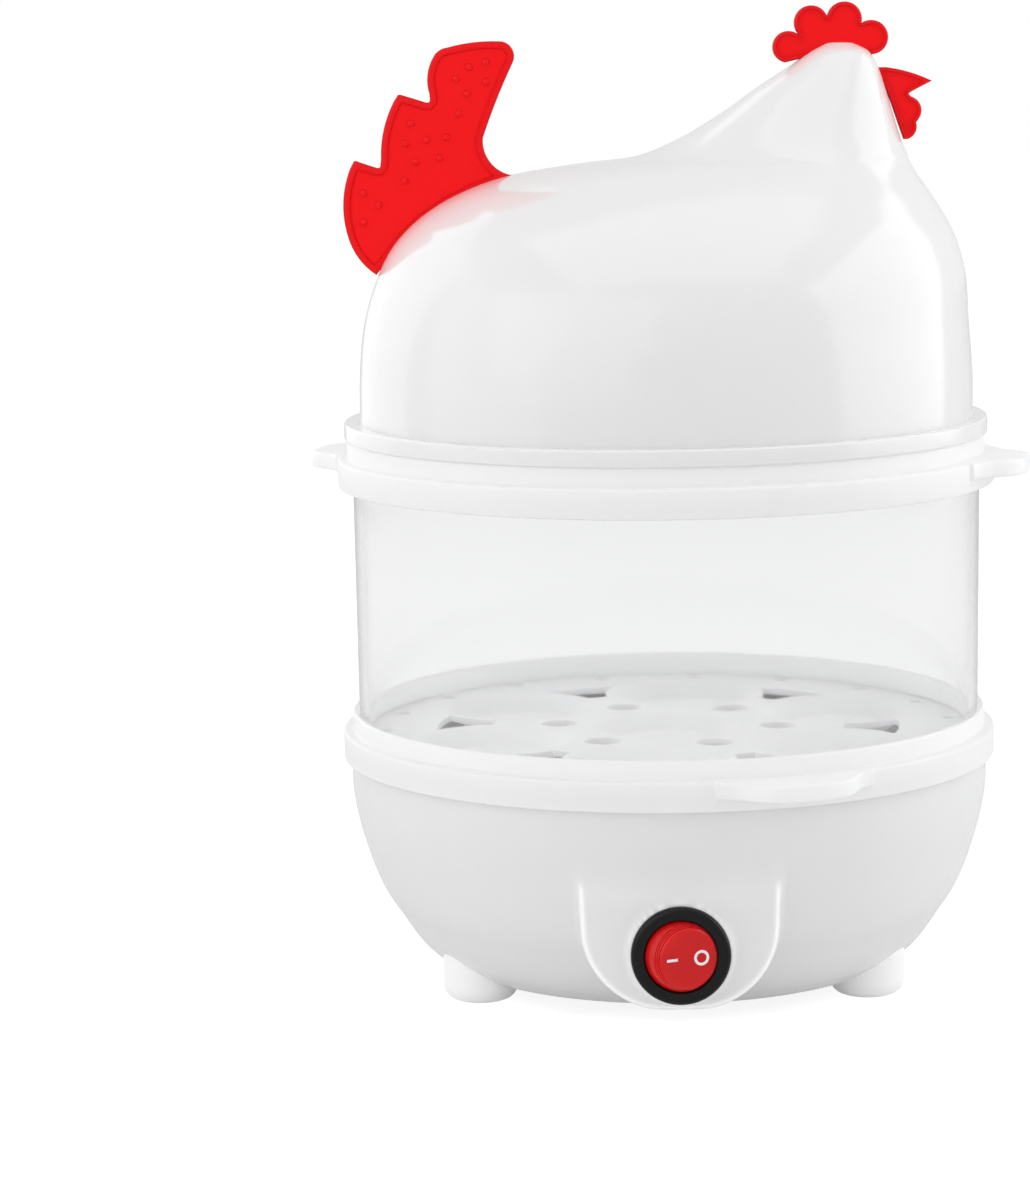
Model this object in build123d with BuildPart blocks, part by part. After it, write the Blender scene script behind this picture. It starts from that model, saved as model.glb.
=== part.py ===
# Electric egg cooker: a round base with a water dish over a heater, two stacking egg trays
# with a clear tier between them, and a lid shaped like a hen.
# Millimetres, +Z up, origin on the centre line at the level of the feet, switch towards -Y.
import os
from math import cos, radians, sin, sqrt, tan

from build123d import *

os.makedirs("parts", exist_ok=True)

# Bowl of the base: how far its wall lies in from the rim, its height and its lean, from the top down
rim_height = 60.2
rim_radius = 78.1
wall = 2.4
belly_top_height = 51.0
bottom_height = 4.2
bottom_setback = 26.1
bowl_stations = [(2.9, 34.9, 17), (9.5, 19.8, 36), (19.5, 7.4, 58)]

# Switch boss on the front of the bowl, a U that falls straight down from the belly
boss_setback = 0.3
boss_top_half_width = 23.9
boss_bottom_half_width = 22.2
boss_top_height = 50.0
boss_lowest = 9.0
boss_corner = 18.0
boss_edge_rounding = 3.0

# Round rocker switch
switch_height = 22.1
switch_seat_setback = 0.2
seat_radius = 12.6
bezel_radius = 11.5
bezel_thickness = 2.0
bezel_rounding = 1.2
switch_body_radius = 9.95
switch_hole_clearance = 0.15
switch_body_depth = 12.9
switch_floor = 1.5
hinge_depth = 3.0
cavity_radius = 8.7
rocker_clearance = 0.1
rocker_skin = 1.4
rocker_face_height = 5.2
rocker_face_hollow_radius = 45.0
rocker_face_hollow_depth = 0.3
rocker_back = 1.0
rocker_tilt = 20.0
trunnion_radius = 1.5
trunnion_clearance = 0.05
trunnion_sink = 0.4
clip_width = 5.0
clip_length = 4.0
clip_height = 0.9
clip_setback = 3.5
clip_sink = 0.2
mark_depth = 0.3
mark_line = 0.5
mark_offset = 3.6
off_ring_radius = 1.75
on_bar_length = 2.9

# Contact works inside the switch
plunger_radius = 1.5
plunger_clearance = 0.05
plunger_reach = 6.5
plunger_back = -0.6
post_radius = 2.3
spring_wire_radius = 0.2
spring_radius = 1.15
spring_turns = 4
spring_seat = -3.4
spring_end_gap = 0.05
bridge_gap = 0.15
bridge_length = 11.5
bridge_thickness = 0.5
bridge_width = 3.4
bridge_tilt = 5.0
button_radius = 1.2
button_thickness = 0.35
button_offset = 4.6
contact_gap = 0.05
blade_thickness = 0.8
blade_width = 4.8
blade_length = 9.0
blade_spacing = 5.5
blade_clearance = 0.03
lamp_radius = 1.3
lamp_length = 7.0
lamp_offset = 5.2
lamp_lift = 3.2
lamp_end_rounding = 0.6
lamp_lead_radius = 0.25
lamp_lead_offset = 5.0
resistor_radius = 1.0
resistor_length = 4.5

# Tray: a skirt, a perforated plate, a collar that holds the tier or the lid, and two ears whose
# half outline is given as reach beyond the skirt and half width
rim_clearance = 0.4
skirt_wall = 1.5
skirt_drop = 4.7
skirt_height = 7.0
plate_thickness = 1.6
collar_wall = 1.25
collar_height = 4.7
collar_clearance = 0.35
ear_thickness = 4.0
ear_root_half_width = 19.5
ear_stations = [(1.6, 14.2), (5.4, 11.4), (8.2, 7.0), (9.0, 0)]
lower_ear_angle = -70.0
upper_ear_angle = -14.0
egg_seat_setback = 30.35
seat_top_radius = 18.5
seat_floor_radius = 13.5
seat_depth = 3.6
seat_wall = 1.4
seat_count = 6
seat_turn = 22.7
vent_hole_radius = 4.5
vent_hole_setback = 19.0
vent_web = 2.0
vent_inner_setback = 3.0
vent_outer_reach = 11.0
drain_hole_radius = 2.2
drain_hole_setback = 6.05
drain_hole_count = 18

# Clear tier
tier_height = 65.4
tier_setback = 2.1
tier_flare = 0.4
tier_wall = 2.0

# Hen lid: height, back, front and half width of its level outlines
lid_flange_reach = 2.3
lid_flange_height = 4.0
lid_flange_rounding = 0.4
lid_spigot_length = 4.4
lid_wall = 2.2
hen_step = 1.6
lid_stations = [
    (138.0, -74.4, 74.8, 74.4),
    (149.0, -74.2, 74.7, 74.2),
    (161.0, -73.0, 73.8, 72.9),
    (172.0, -69.8, 73.1, 69.0),
    (181.5, -64.6, 70.5, 62.0),
    (190.0, -54.8, 65.8, 52.0),
    (196.2, -40.5, 61.5, 42.5),
    (199.3, -23.0, 59.8, 36.0),
    (201.2, -6.6, 59.1, 31.5),
    (204.8, 3.1, 57.6, 27.0),
    (211.2, 14.3, 55.6, 21.0),
    (217.4, 23.3, 53.8, 15.8),
    (222.4, 31.2, 52.0, 11.2),
    (225.6, 36.0, 50.0, 7.8),
    (227.5, 39.6, 46.5, 3.5),
]

# Red trim plates on the lid
trim_clearance = 0.1
tab_thickness = 2.0
tab_width = 6.0
tab_outside = 4.0
tab_inside = 3.6
tail_thickness = 3.0
tail_border = 1.6
tail_recess = 0.4
tail_bump_radius = 0.9
tail_bumps = [
    (-42.2, 224.4), (-46.2, 223.2), (-49.4, 220.5), (-42.2, 219.6), (-46.8, 216.9), (-49.0, 212.2),
    (-60.5, 210.0), (-61.9, 205.2), (-56.7, 206.0), (-51.9, 206.5), (-59.5, 200.8), (-53.7, 201.6),
    (-62.2, 196.3), (-72.3, 193.4), (-68.7, 190.5), (-72.4, 186.4),
]
tail_tabs = [(-64.9, 181.5, 138), (-47.6, 193.8, 118)]
comb_thickness = 3.2
comb_lobes = [(30.7, 226.8, 3.8), (36.2, 232.5, 4.1), (44.2, 233.2, 4.2), (50.6, 228.8, 4.1)]
comb_tab = (42.5, 227.4, 90)
beak_thickness = 3.0
beak_tab = (54.2, 215.8, 18)

# Water dish, its seal and what holds it
dish_steel = 0.8
dish_edge_gap = 1.1
dish_well_setback = 9.6
dish_well_draft = 2.5
dish_floor_height = 46.0
dish_corner = 4.0
dish_lip_corner = 2.0
seal_thickness = 1.2
seal_lip = 1.8
seal_overlap = 4.4
seal_edge_gap = 0.2
rib_count = 12
rib_thickness = 1.6
rib_rise = 8.0
rib_overhang = 0.2
rib_drop = 14.0
rib_sink = 0.8
pillar_count = 3
pillar_setback = 15.0
pillar_radius = 4.6
pillar_turn = 0.0
weld_nut_radius = 3.5
weld_nut_height = 4.0
plate_screw_head_height = 32.0

# Screws
screw_radius = 1.5
screw_head_radius = 2.8
screw_head_height = 2.0
screw_clearance = 0.05
head_clearance = 0.4
screw_end_gap = 1.0

# Heater, thermostat and fuse
spreader_radius = 42.0
spreader_thickness = 4.8
spreader_hole_radius = 9.0
element_pitch_radius = 32.0
element_radius = 3.25
element_gap_angle = 40.0
element_fit = 0.03
element_leg = 10.0
bead_radius = 2.5
bead_length = 4.0
pin_radius = 1.2
pin_length = 10.0
thermostat_cap_radius = 8.0
thermostat_body_radius = 7.0
thermostat_body_height = 8.2
thermostat_blade_width = 6.3
thermostat_blade_length = 8.0
thermostat_blade_offset = 3.5
bracket_length = 32.0
bracket_width = 9.0
bracket_thickness = 0.8
bracket_ring_width = 1.15
bracket_screw_offset = 12.0
bracket_screw_length = 4.2
fuse_radius = 2.0
fuse_length = 10.0
fuse_place = (10.0, -6.0, 12.0)
sleeve_wall = 0.6

# Wiring
wire_radius = 1.1
receptacle_width = 6.6
receptacle_thickness = 2.8
receptacle_length = 11.0
receptacle_overlap = 7.0
round_receptacle_radius = 2.4
splice_radius = 3.4
splice_length = 13.0
splice_rounding = 1.0
splice_front = 34.0
splice_offset = 4.5
paired_wire_offset = 1.2
wire_straight = 6.5
fuse_straight = 3.0
low_turn = 10.0
lowest_turn = 7.9
bend_share = 0.45

# Cord outlet at the back; the cord itself is not part of the model
outlet_height = 24.0
outlet_pad_radius = 7.0
outlet_setback = 3.1
grommet_bore_radius = 3.1
grommet_neck_radius = 4.5
grommet_flange_radius = 6.2
grommet_flange = 1.6
grommet_rounding = 0.8
grommet_inner_flange_radius = 5.4
grommet_length = 14.2
grommet_clearance = 0.1
clamp_setback = 21.0
clamp_screw_offset = 9.0
clamp_boss_radius = 3.2
clamp_bar_length = 25.0
clamp_bar_width = 7.0
clamp_bar_height = 4.6
clamp_screw_length = 12.0

# Bottom cover and feet
cover_setback = 7.6
cover_clearance = 0.2
cover_thickness = 2.0
cover_overlap = 7.9
cover_ring_width = 3.6
cover_ring_height = 4.4
cover_screw_count = 3
cover_screw_setback = 3.9
cover_screw_length = 8.0
cover_boss_radius = 3.6
cover_boss_height = 10.0
cover_screw_turn = 30.0
cover_slot_length = 14.0
cover_slot_width = 2.6
cover_slot_pitch_radius = 20.0
cover_slot_count = 8
foot_count = 3
foot_overhang = 2.0
foot_radius = 9.0
foot_rounding = 3.0
foot_turn = -30.0
foot_spigot_radius = 2.0
foot_spigot_clearance = 0.1
foot_spigot_rise = 10.0

# Values worked out from the ones above
bottom_radius = rim_radius - bottom_setback
boss_front_radius = rim_radius - boss_setback
seat_front = rim_radius - switch_seat_setback
outlet_pad_front = rim_radius - outlet_setback
clamp_place = outlet_pad_front - clamp_setback
dish_flange_radius = rim_radius - wall - dish_edge_gap
dish_well_radius = dish_flange_radius - dish_well_setback
seal_inner_radius = dish_flange_radius - seal_overlap
rib_reach = seal_inner_radius - rib_overhang
pillar_pitch_radius = dish_well_radius - pillar_setback
cover_radius = bottom_radius - cover_setback
cover_opening_radius = cover_radius - cover_overlap
cover_ring_radius = cover_radius + cover_ring_width
cover_screw_pitch_radius = cover_radius - cover_screw_setback
foot_pitch_radius = bottom_radius + foot_overhang
tier_bottom_radius = rim_radius - tier_setback
tier_top_radius = tier_bottom_radius + tier_flare
lid_flange_radius = tier_bottom_radius + lid_flange_reach
hen_scale = (tier_bottom_radius - hen_step) / lid_stations[0][3]
skirt_inner_radius = rim_radius + rim_clearance
skirt_radius = skirt_inner_radius + skirt_wall
ear_root_radius = skirt_radius - skirt_wall / 2
skirt_rise = skirt_height - skirt_drop
collar_inner_radius = tier_bottom_radius + collar_clearance
collar_radius = collar_inner_radius + collar_wall
seat_pitch_radius = collar_inner_radius - egg_seat_setback
vent_hole_pitch_radius = seat_pitch_radius - vent_hole_setback
vent_inner_radius = seat_pitch_radius - vent_inner_setback
vent_outer_radius = seat_pitch_radius + vent_outer_reach
drain_hole_pitch_radius = collar_inner_radius - drain_hole_setback
collar_top = skirt_rise + collar_height
lower_tray_height = rim_height
tier_place = lower_tray_height + plate_thickness
upper_tray_height = tier_place + tier_height
lid_seat_height = upper_tray_height + collar_top
bezel_back = -seat_front
bezel_front = bezel_back - bezel_thickness
hinge_y = bezel_front + hinge_depth
rocker_radius = cavity_radius - rocker_clearance
switch_back = bezel_back + switch_body_depth
switch_floor_y = switch_back - switch_floor
bridge_front = hinge_y + plunger_reach + bridge_gap
bridge_back = bridge_front + bridge_thickness
blade_tip = switch_back + blade_length
rib_top = dish_floor_height + rib_rise
flange_bottom = rib_top + seal_thickness
spreader_bottom = dish_floor_height - spreader_thickness
bracket_bottom = spreader_bottom - bracket_thickness
thermostat_bottom = spreader_bottom - thermostat_body_height
leg_bottom = spreader_bottom - element_leg
bead_bottom = leg_bottom - bead_length
pin_bottom = bead_bottom - pin_length
pillar_top = dish_floor_height - weld_nut_height
cover_inside = bottom_height + cover_thickness


def save(part, name):
    """Label a finished piece and write it as its own file."""
    part.label = name
    export_step(part, "parts/" + name + ".step")


def bowl_outline(inset):
    """Points of the bowl's wall from the belly down, moved in along the wall's lean."""
    points = [(rim_radius - inset, belly_top_height)]
    for setback, height, lean in bowl_stations:
        radius = rim_radius - setback
        points.append((radius - inset * cos(radians(lean)), height + inset * sin(radians(lean))))
    points.append((bottom_radius, bottom_height + inset))
    return points


def bowl_solid(inset):
    """The bowl's outside when inset is 0, or the space inside its wall."""
    outline = bowl_outline(inset)
    floor = bottom_height + inset
    with BuildPart() as solid:
        with BuildSketch(Plane.XZ):
            with BuildLine():
                Polyline((0, floor), (0, rim_height), (rim_radius - inset, rim_height), outline[0])
                Spline(*outline, tangents=[(0, -1), (-1, 0)])
                Line(outline[-1], (0, floor))
            make_face()
        revolve(axis=Axis.Z)
    return solid.part


def boss_solid(inset):
    """The switch boss's outside when inset is 0, or the pocket inside its wall."""
    lowest = boss_lowest + inset
    top = boss_top_half_width - inset
    bottom = boss_bottom_half_width - inset
    with BuildPart() as solid:
        with BuildSketch(Plane.XZ.offset(rim_radius / 2)):
            with BuildLine():
                Polyline(
                    (-top, boss_top_height), (-bottom, lowest), (bottom, lowest), (top, boss_top_height),
                    close=True,
                )
            make_face()
            fillet(vertices().group_by(Axis.Z)[0], boss_corner - inset)
        extrude(amount=rim_radius / 2)
        with BuildSketch(Plane.XY):
            Circle(boss_front_radius - inset)
        extrude(amount=boss_top_height, mode=Mode.INTERSECT)
        if inset == 0:
            front_band = 2 * boss_edge_rounding
            front = edges().filter_by_position(Axis.Y, -boss_front_radius, -boss_front_radius + front_band)
            below_top = front.filter_by(lambda edge: edge.center().Z < boss_top_height - boss_edge_rounding)
            fillet(below_top, boss_edge_rounding)
    return solid.part


def polar_places(radius, count, turn):
    """Points spaced evenly on a circle."""
    angles = [radians(turn + k * 360 / count) for k in range(count)]
    return [(radius * cos(angle), radius * sin(angle)) for angle in angles]


pillar_places = polar_places(pillar_pitch_radius, pillar_count, pillar_turn)
foot_places = polar_places(foot_pitch_radius, foot_count, foot_turn)
cover_screw_places = polar_places(cover_screw_pitch_radius, cover_screw_count, cover_screw_turn)
clamp_screw_places = [(-clamp_screw_offset, clamp_place), (clamp_screw_offset, clamp_place)]
switch_plane = Plane(origin=(0, bezel_back, switch_height), x_dir=(1, 0, 0), z_dir=(0, -1, 0))
outlet_plane = Plane(origin=(0, outlet_pad_front, outlet_height), x_dir=(-1, 0, 0), z_dir=(0, 1, 0))

bowl_outside = bowl_solid(0)

# Pillars and screw bosses that stand on the bowl's floor
with BuildPart() as floor_bosses:
    with BuildSketch(Plane.XY.offset(bottom_height)):
        with Locations(*pillar_places):
            Circle(pillar_radius)
    extrude(amount=pillar_top - bottom_height)
    with BuildSketch(Plane.XY.offset(bottom_height)):
        with Locations(*clamp_screw_places):
            Circle(clamp_boss_radius)
    extrude(amount=outlet_height - bottom_height)
    with BuildSketch(Plane.XY.offset(bottom_height)):
        with Locations(*cover_screw_places):
            Circle(cover_boss_radius)
    extrude(amount=cover_boss_height)
    with BuildSketch(Plane.XY.offset(bottom_height)):
        Circle(cover_ring_radius)
        Circle(cover_opening_radius, mode=Mode.SUBTRACT)
    extrude(amount=cover_ring_height)
    add(bowl_outside, mode=Mode.INTERSECT)

# Base housing: the white bowl with its switch boss, dish ribs and floor bosses
with BuildPart() as base_housing:
    add(bowl_outside)
    add(boss_solid(0))
    with BuildSketch(switch_plane):
        Circle(seat_radius)
    extrude(amount=-seat_radius)
    with BuildSketch(outlet_plane):
        Circle(outlet_pad_radius)
    extrude(amount=-outlet_pad_radius * 2)
    add(bowl_solid(wall), mode=Mode.SUBTRACT)
    add(boss_solid(wall), mode=Mode.SUBTRACT)
    add(floor_bosses.part)
    with BuildSketch(Plane.XZ.offset(-rib_thickness / 2)) as rib:
        with BuildLine():
            rib_root = rim_radius - wall + rib_sink
            Polyline((rib_reach, rib_top), (rib_root, rib_top), (rib_root, rib_top - rib_drop), close=True)
        make_face()
    rib_solid = extrude(rib.sketch, amount=rib_thickness, mode=Mode.PRIVATE)
    with PolarLocations(0, rib_count, start_angle=180 / rib_count):
        add(rib_solid)
    with BuildSketch(Plane.XY.offset(bottom_height)):
        Circle(cover_opening_radius)
    extrude(amount=wall, mode=Mode.SUBTRACT)
    with BuildSketch(Plane.XY.offset(bottom_height)):
        Circle(cover_radius + cover_clearance)
    extrude(amount=cover_thickness, mode=Mode.SUBTRACT)
    with BuildSketch(Plane.XY.offset(cover_inside)):
        with Locations(*cover_screw_places):
            Circle(screw_radius + screw_clearance)
    extrude(amount=cover_boss_height, mode=Mode.SUBTRACT)
    with BuildSketch(Plane.XY.offset(outlet_height)):
        with Locations(*clamp_screw_places):
            Circle(screw_radius + screw_clearance)
    extrude(amount=-clamp_screw_length, mode=Mode.SUBTRACT)
    with BuildSketch(Plane.XY):
        with Locations(*pillar_places):
            Circle(screw_radius + screw_clearance)
    extrude(amount=pillar_top, mode=Mode.SUBTRACT)
    with BuildSketch(Plane.XY):
        with Locations(*pillar_places):
            Circle(screw_head_radius + head_clearance)
    extrude(amount=plate_screw_head_height, mode=Mode.SUBTRACT)
    with BuildSketch(Plane.XY):
        with Locations(*foot_places):
            Circle(foot_spigot_radius + foot_spigot_clearance)
    extrude(amount=foot_spigot_rise + bottom_height, mode=Mode.SUBTRACT)
    with BuildSketch(switch_plane):
        Circle(switch_body_radius + switch_hole_clearance)
    extrude(amount=-seat_radius, mode=Mode.SUBTRACT)
    with BuildSketch(outlet_plane):
        Circle(grommet_neck_radius + grommet_clearance)
    extrude(amount=-outlet_pad_radius * 2, mode=Mode.SUBTRACT)
save(base_housing.part, "base_housing")

# Feet: soft pads under the bowl, each with a spigot pressed into the floor
with BuildPart() as foot:
    with BuildSketch(Plane.XY):
        with Locations(foot_places[0]):
            Circle(foot_radius)
    extrude(amount=bottom_height + foot_radius)
    fillet(edges().group_by(Axis.Z)[0], foot_rounding)
    add(bowl_outside, mode=Mode.SUBTRACT)
    with BuildSketch(Plane.XY.offset(bottom_height / 2)):
        with Locations(foot_places[0]):
            Circle(foot_spigot_radius)
    extrude(amount=foot_spigot_rise)
for number in range(foot_count):
    save(foot.part.rotate(Axis.Z, number * 360 / foot_count), "foot_" + str(number + 1))

# Bottom cover with its ring of vent slots
with BuildPart() as bottom_cover:
    with BuildSketch(Plane.XY.offset(bottom_height)):
        Circle(cover_radius)
        with Locations(*cover_screw_places):
            Circle(screw_radius + screw_clearance, mode=Mode.SUBTRACT)
        with PolarLocations(cover_slot_pitch_radius, cover_slot_count):
            SlotOverall(cover_slot_length, cover_slot_width, mode=Mode.SUBTRACT)
    extrude(amount=cover_thickness)
save(bottom_cover.part, "bottom_cover")


def screw_set(places, head_base, length, name, heads_below=True):
    """Upright screws with round, cross-cut heads; their heads' inner faces lie at head_base."""
    way = 1 if heads_below else -1
    with BuildPart() as screws:
        with BuildSketch(Plane.XY.offset(head_base)):
            with Locations(*places):
                Circle(screw_radius)
        extrude(amount=way * length)
        with BuildSketch(Plane.XY.offset(head_base)):
            with Locations(*places):
                Circle(screw_head_radius)
        extrude(amount=-way * screw_head_height)
        recess_plane = Plane.XY.offset(head_base - way * screw_head_height)
        with BuildSketch(recess_plane):
            with Locations(*places):
                Rectangle(screw_head_radius, mark_line)
                Rectangle(mark_line, screw_head_radius)
        extrude(amount=way * screw_head_height / 2, mode=Mode.SUBTRACT)
    save(screws.part, name)


screw_set(cover_screw_places, bottom_height, cover_screw_length, "cover_screws")

# Water dish: pressed steel with a flat flange, a well and a level floor
with BuildPart() as heating_plate:
    well_top = dish_well_radius + dish_well_draft
    floor_top = dish_floor_height + dish_steel
    flange_top = flange_bottom + dish_steel
    with BuildSketch(Plane.XZ):
        with BuildLine():
            under = FilletPolyline(
                (0, dish_floor_height), (dish_well_radius, dish_floor_height),
                (well_top, flange_bottom), (dish_flange_radius, flange_bottom),
                radius=[dish_corner, dish_lip_corner],
            )
            over = FilletPolyline(
                (0, floor_top), (dish_well_radius - dish_steel, floor_top),
                (well_top - dish_steel, flange_top), (dish_flange_radius, flange_top),
                radius=[dish_corner - dish_steel, dish_lip_corner + dish_steel],
            )
            Line(under @ 0, over @ 0)
            Line(under @ 1, over @ 1)
        make_face()
    revolve(axis=Axis.Z)
save(heating_plate.part, "heating_plate")

# Seal between the ribs and the dish's flange, with a lip round the flange's edge
with BuildPart() as plate_seal:
    seal_outer = rim_radius - wall - seal_edge_gap
    lip_inner = dish_flange_radius + seal_edge_gap
    with BuildSketch(Plane.XZ):
        with BuildLine():
            Polyline(
                (seal_inner_radius, rib_top), (seal_outer, rib_top), (seal_outer, flange_bottom + seal_lip),
                (lip_inner, flange_bottom + seal_lip), (lip_inner, flange_bottom),
                (seal_inner_radius, flange_bottom), close=True,
            )
        make_face()
    revolve(axis=Axis.Z)
save(plate_seal.part, "plate_seal")

# Weld nuts under the dish and the long screws that pull it down
with BuildPart() as weld_nuts:
    with BuildSketch(Plane.XY.offset(pillar_top)):
        with Locations(*pillar_places):
            RegularPolygon(weld_nut_radius, 6)
            Circle(screw_radius + screw_clearance, mode=Mode.SUBTRACT)
    extrude(amount=weld_nut_height)
save(weld_nuts.part, "weld_nuts")
plate_screw_length = pillar_top - plate_screw_head_height + weld_nut_height - screw_end_gap
screw_set(pillar_places, plate_screw_head_height, plate_screw_length, "plate_screws")

# Tubular heating element: an open ring with two legs that turn down
element_turn = element_gap_angle / 2
leg_x = element_pitch_radius * cos(radians(element_turn))
leg_y = element_pitch_radius * sin(radians(element_turn))
leg_places = [(leg_x, -leg_y), (leg_x, leg_y)]
ring_plane = Plane(origin=(0, 0, spreader_bottom)).rotated((0, 0, element_turn))
with BuildPart() as heater_element:
    with BuildSketch(Plane(ring_plane.origin, x_dir=ring_plane.x_dir, z_dir=-ring_plane.y_dir)):
        with Locations((element_pitch_radius, 0)):
            Circle(element_radius)
    revolve(axis=Axis.Z, revolution_arc=360 - element_gap_angle)
    with BuildSketch(Plane.XY.offset(spreader_bottom)):
        with Locations(*leg_places):
            Circle(element_radius)
    extrude(amount=-element_leg)
    with Locations(*[(x, y, spreader_bottom) for x, y in leg_places]):
        Sphere(element_radius)
save(heater_element.part, "heater_element")

# Ceramic beads and terminal pins of the element
with BuildPart() as element_beads:
    with BuildSketch(Plane.XY.offset(leg_bottom)):
        with Locations(*leg_places):
            Circle(bead_radius)
            Circle(pin_radius + screw_clearance, mode=Mode.SUBTRACT)
    extrude(amount=-bead_length)
save(element_beads.part, "element_beads")
with BuildPart() as element_pins:
    with BuildSketch(Plane.XY.offset(leg_bottom)):
        with Locations(*leg_places):
            Circle(pin_radius)
    extrude(amount=-bead_length - pin_length)
save(element_pins.part, "element_pins")

# Cast plate that spreads the heat, with a groove for the element and a hole for the thermostat
bracket_screw_places = [(0, -bracket_screw_offset), (0, bracket_screw_offset)]
with BuildPart() as heat_spreader:
    with BuildSketch(Plane.XY.offset(spreader_bottom)):
        Circle(spreader_radius)
        Circle(spreader_hole_radius, mode=Mode.SUBTRACT)
    extrude(amount=spreader_thickness)
    with Locations((0, 0, spreader_bottom)):
        Torus(element_pitch_radius, element_radius + element_fit, mode=Mode.SUBTRACT)
    with BuildSketch(Plane.XY.offset(spreader_bottom)):
        with Locations(*bracket_screw_places):
            Circle(screw_radius + screw_clearance)
    extrude(amount=bracket_screw_length, mode=Mode.SUBTRACT)
save(heat_spreader.part, "heat_spreader")

# Snap thermostat: metal cap against the dish, moulded body and two blades
with BuildPart() as thermostat:
    with BuildSketch(Plane.XY.offset(spreader_bottom)):
        Circle(thermostat_cap_radius)
    extrude(amount=spreader_thickness)
    with BuildSketch(Plane.XY.offset(spreader_bottom)):
        Circle(thermostat_body_radius)
    extrude(amount=-thermostat_body_height)
save(thermostat.part, "thermostat")
thermostat_blade_places = [(-thermostat_blade_offset, 0), (thermostat_blade_offset, 0)]
with BuildPart() as thermostat_blades:
    with BuildSketch(Plane.XY.offset(thermostat_bottom)):
        with Locations(*thermostat_blade_places):
            Rectangle(blade_thickness, thermostat_blade_width)
    extrude(amount=-thermostat_blade_length)
save(thermostat_blades.part, "thermostat_blades")

# Strap that holds the thermostat up, with its two screws
with BuildPart() as thermostat_bracket:
    with BuildSketch(Plane.XY.offset(bracket_bottom)):
        SlotOverall(bracket_length, bracket_width, rotation=90)
        Circle(thermostat_body_radius + bracket_ring_width)
        Circle(thermostat_body_radius + screw_clearance, mode=Mode.SUBTRACT)
        with Locations(*bracket_screw_places):
            Circle(screw_radius + screw_clearance, mode=Mode.SUBTRACT)
    extrude(amount=bracket_thickness)
save(thermostat_bracket.part, "thermostat_bracket")
screw_set(bracket_screw_places, bracket_bottom, bracket_screw_length, "thermostat_screws")

# Round rocker switch: moulded body with a domed bezel, snapped into the boss
with BuildPart() as switch_body:
    with BuildSketch(switch_plane):
        Circle(switch_body_radius)
    extrude(amount=-switch_body_depth)
    with BuildSketch(switch_plane):
        Circle(bezel_radius)
    extrude(amount=bezel_thickness)
    fillet(faces().sort_by(Axis.Y)[0].outer_wire().edges(), bezel_rounding)
    for side in (-1, 1):
        with BuildSketch(switch_plane.offset(-clip_setback)):
            with Locations((side * (switch_body_radius + clip_height / 2 - clip_sink), 0)):
                Rectangle(clip_height, clip_width)
        extrude(amount=-clip_length)
    with Locations((0, hinge_y, switch_height)):
        Sphere(cavity_radius, mode=Mode.SUBTRACT)
    with BuildSketch(switch_plane.offset(bezel_thickness - hinge_depth)):
        Circle(cavity_radius)
    extrude(amount=-(switch_floor_y - hinge_y), mode=Mode.SUBTRACT)
    with BuildSketch(Plane.XY.offset(switch_height)):
        with Locations((0, hinge_y)):
            Circle(trunnion_radius + trunnion_clearance)
    extrude(amount=switch_body_radius + trunnion_clearance, both=True, mode=Mode.SUBTRACT)
    with BuildSketch(switch_plane.offset(-switch_body_depth)):
        with Locations(*[(side * blade_spacing, 0) for side in (-1, 0, 1)]):
            Rectangle(blade_thickness + 2 * blade_clearance, blade_width + 2 * blade_clearance)
    extrude(amount=switch_floor, mode=Mode.SUBTRACT)
save(switch_body.part, "switch_body")

# Rocker in its resting pose, pressed in on the side of the O
rocker_plane = Plane(
    origin=(0, hinge_y, switch_height),
    x_dir=(cos(radians(rocker_tilt)), sin(radians(rocker_tilt)), 0),
    z_dir=(0, 0, 1),
)
face_plane = Plane(
    origin=rocker_plane.from_local_coords((0, -rocker_face_height, 0)),
    x_dir=rocker_plane.x_dir,
    z_dir=-rocker_plane.y_dir,
)
mark_floor = rocker_face_hollow_depth + mark_depth


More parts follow.
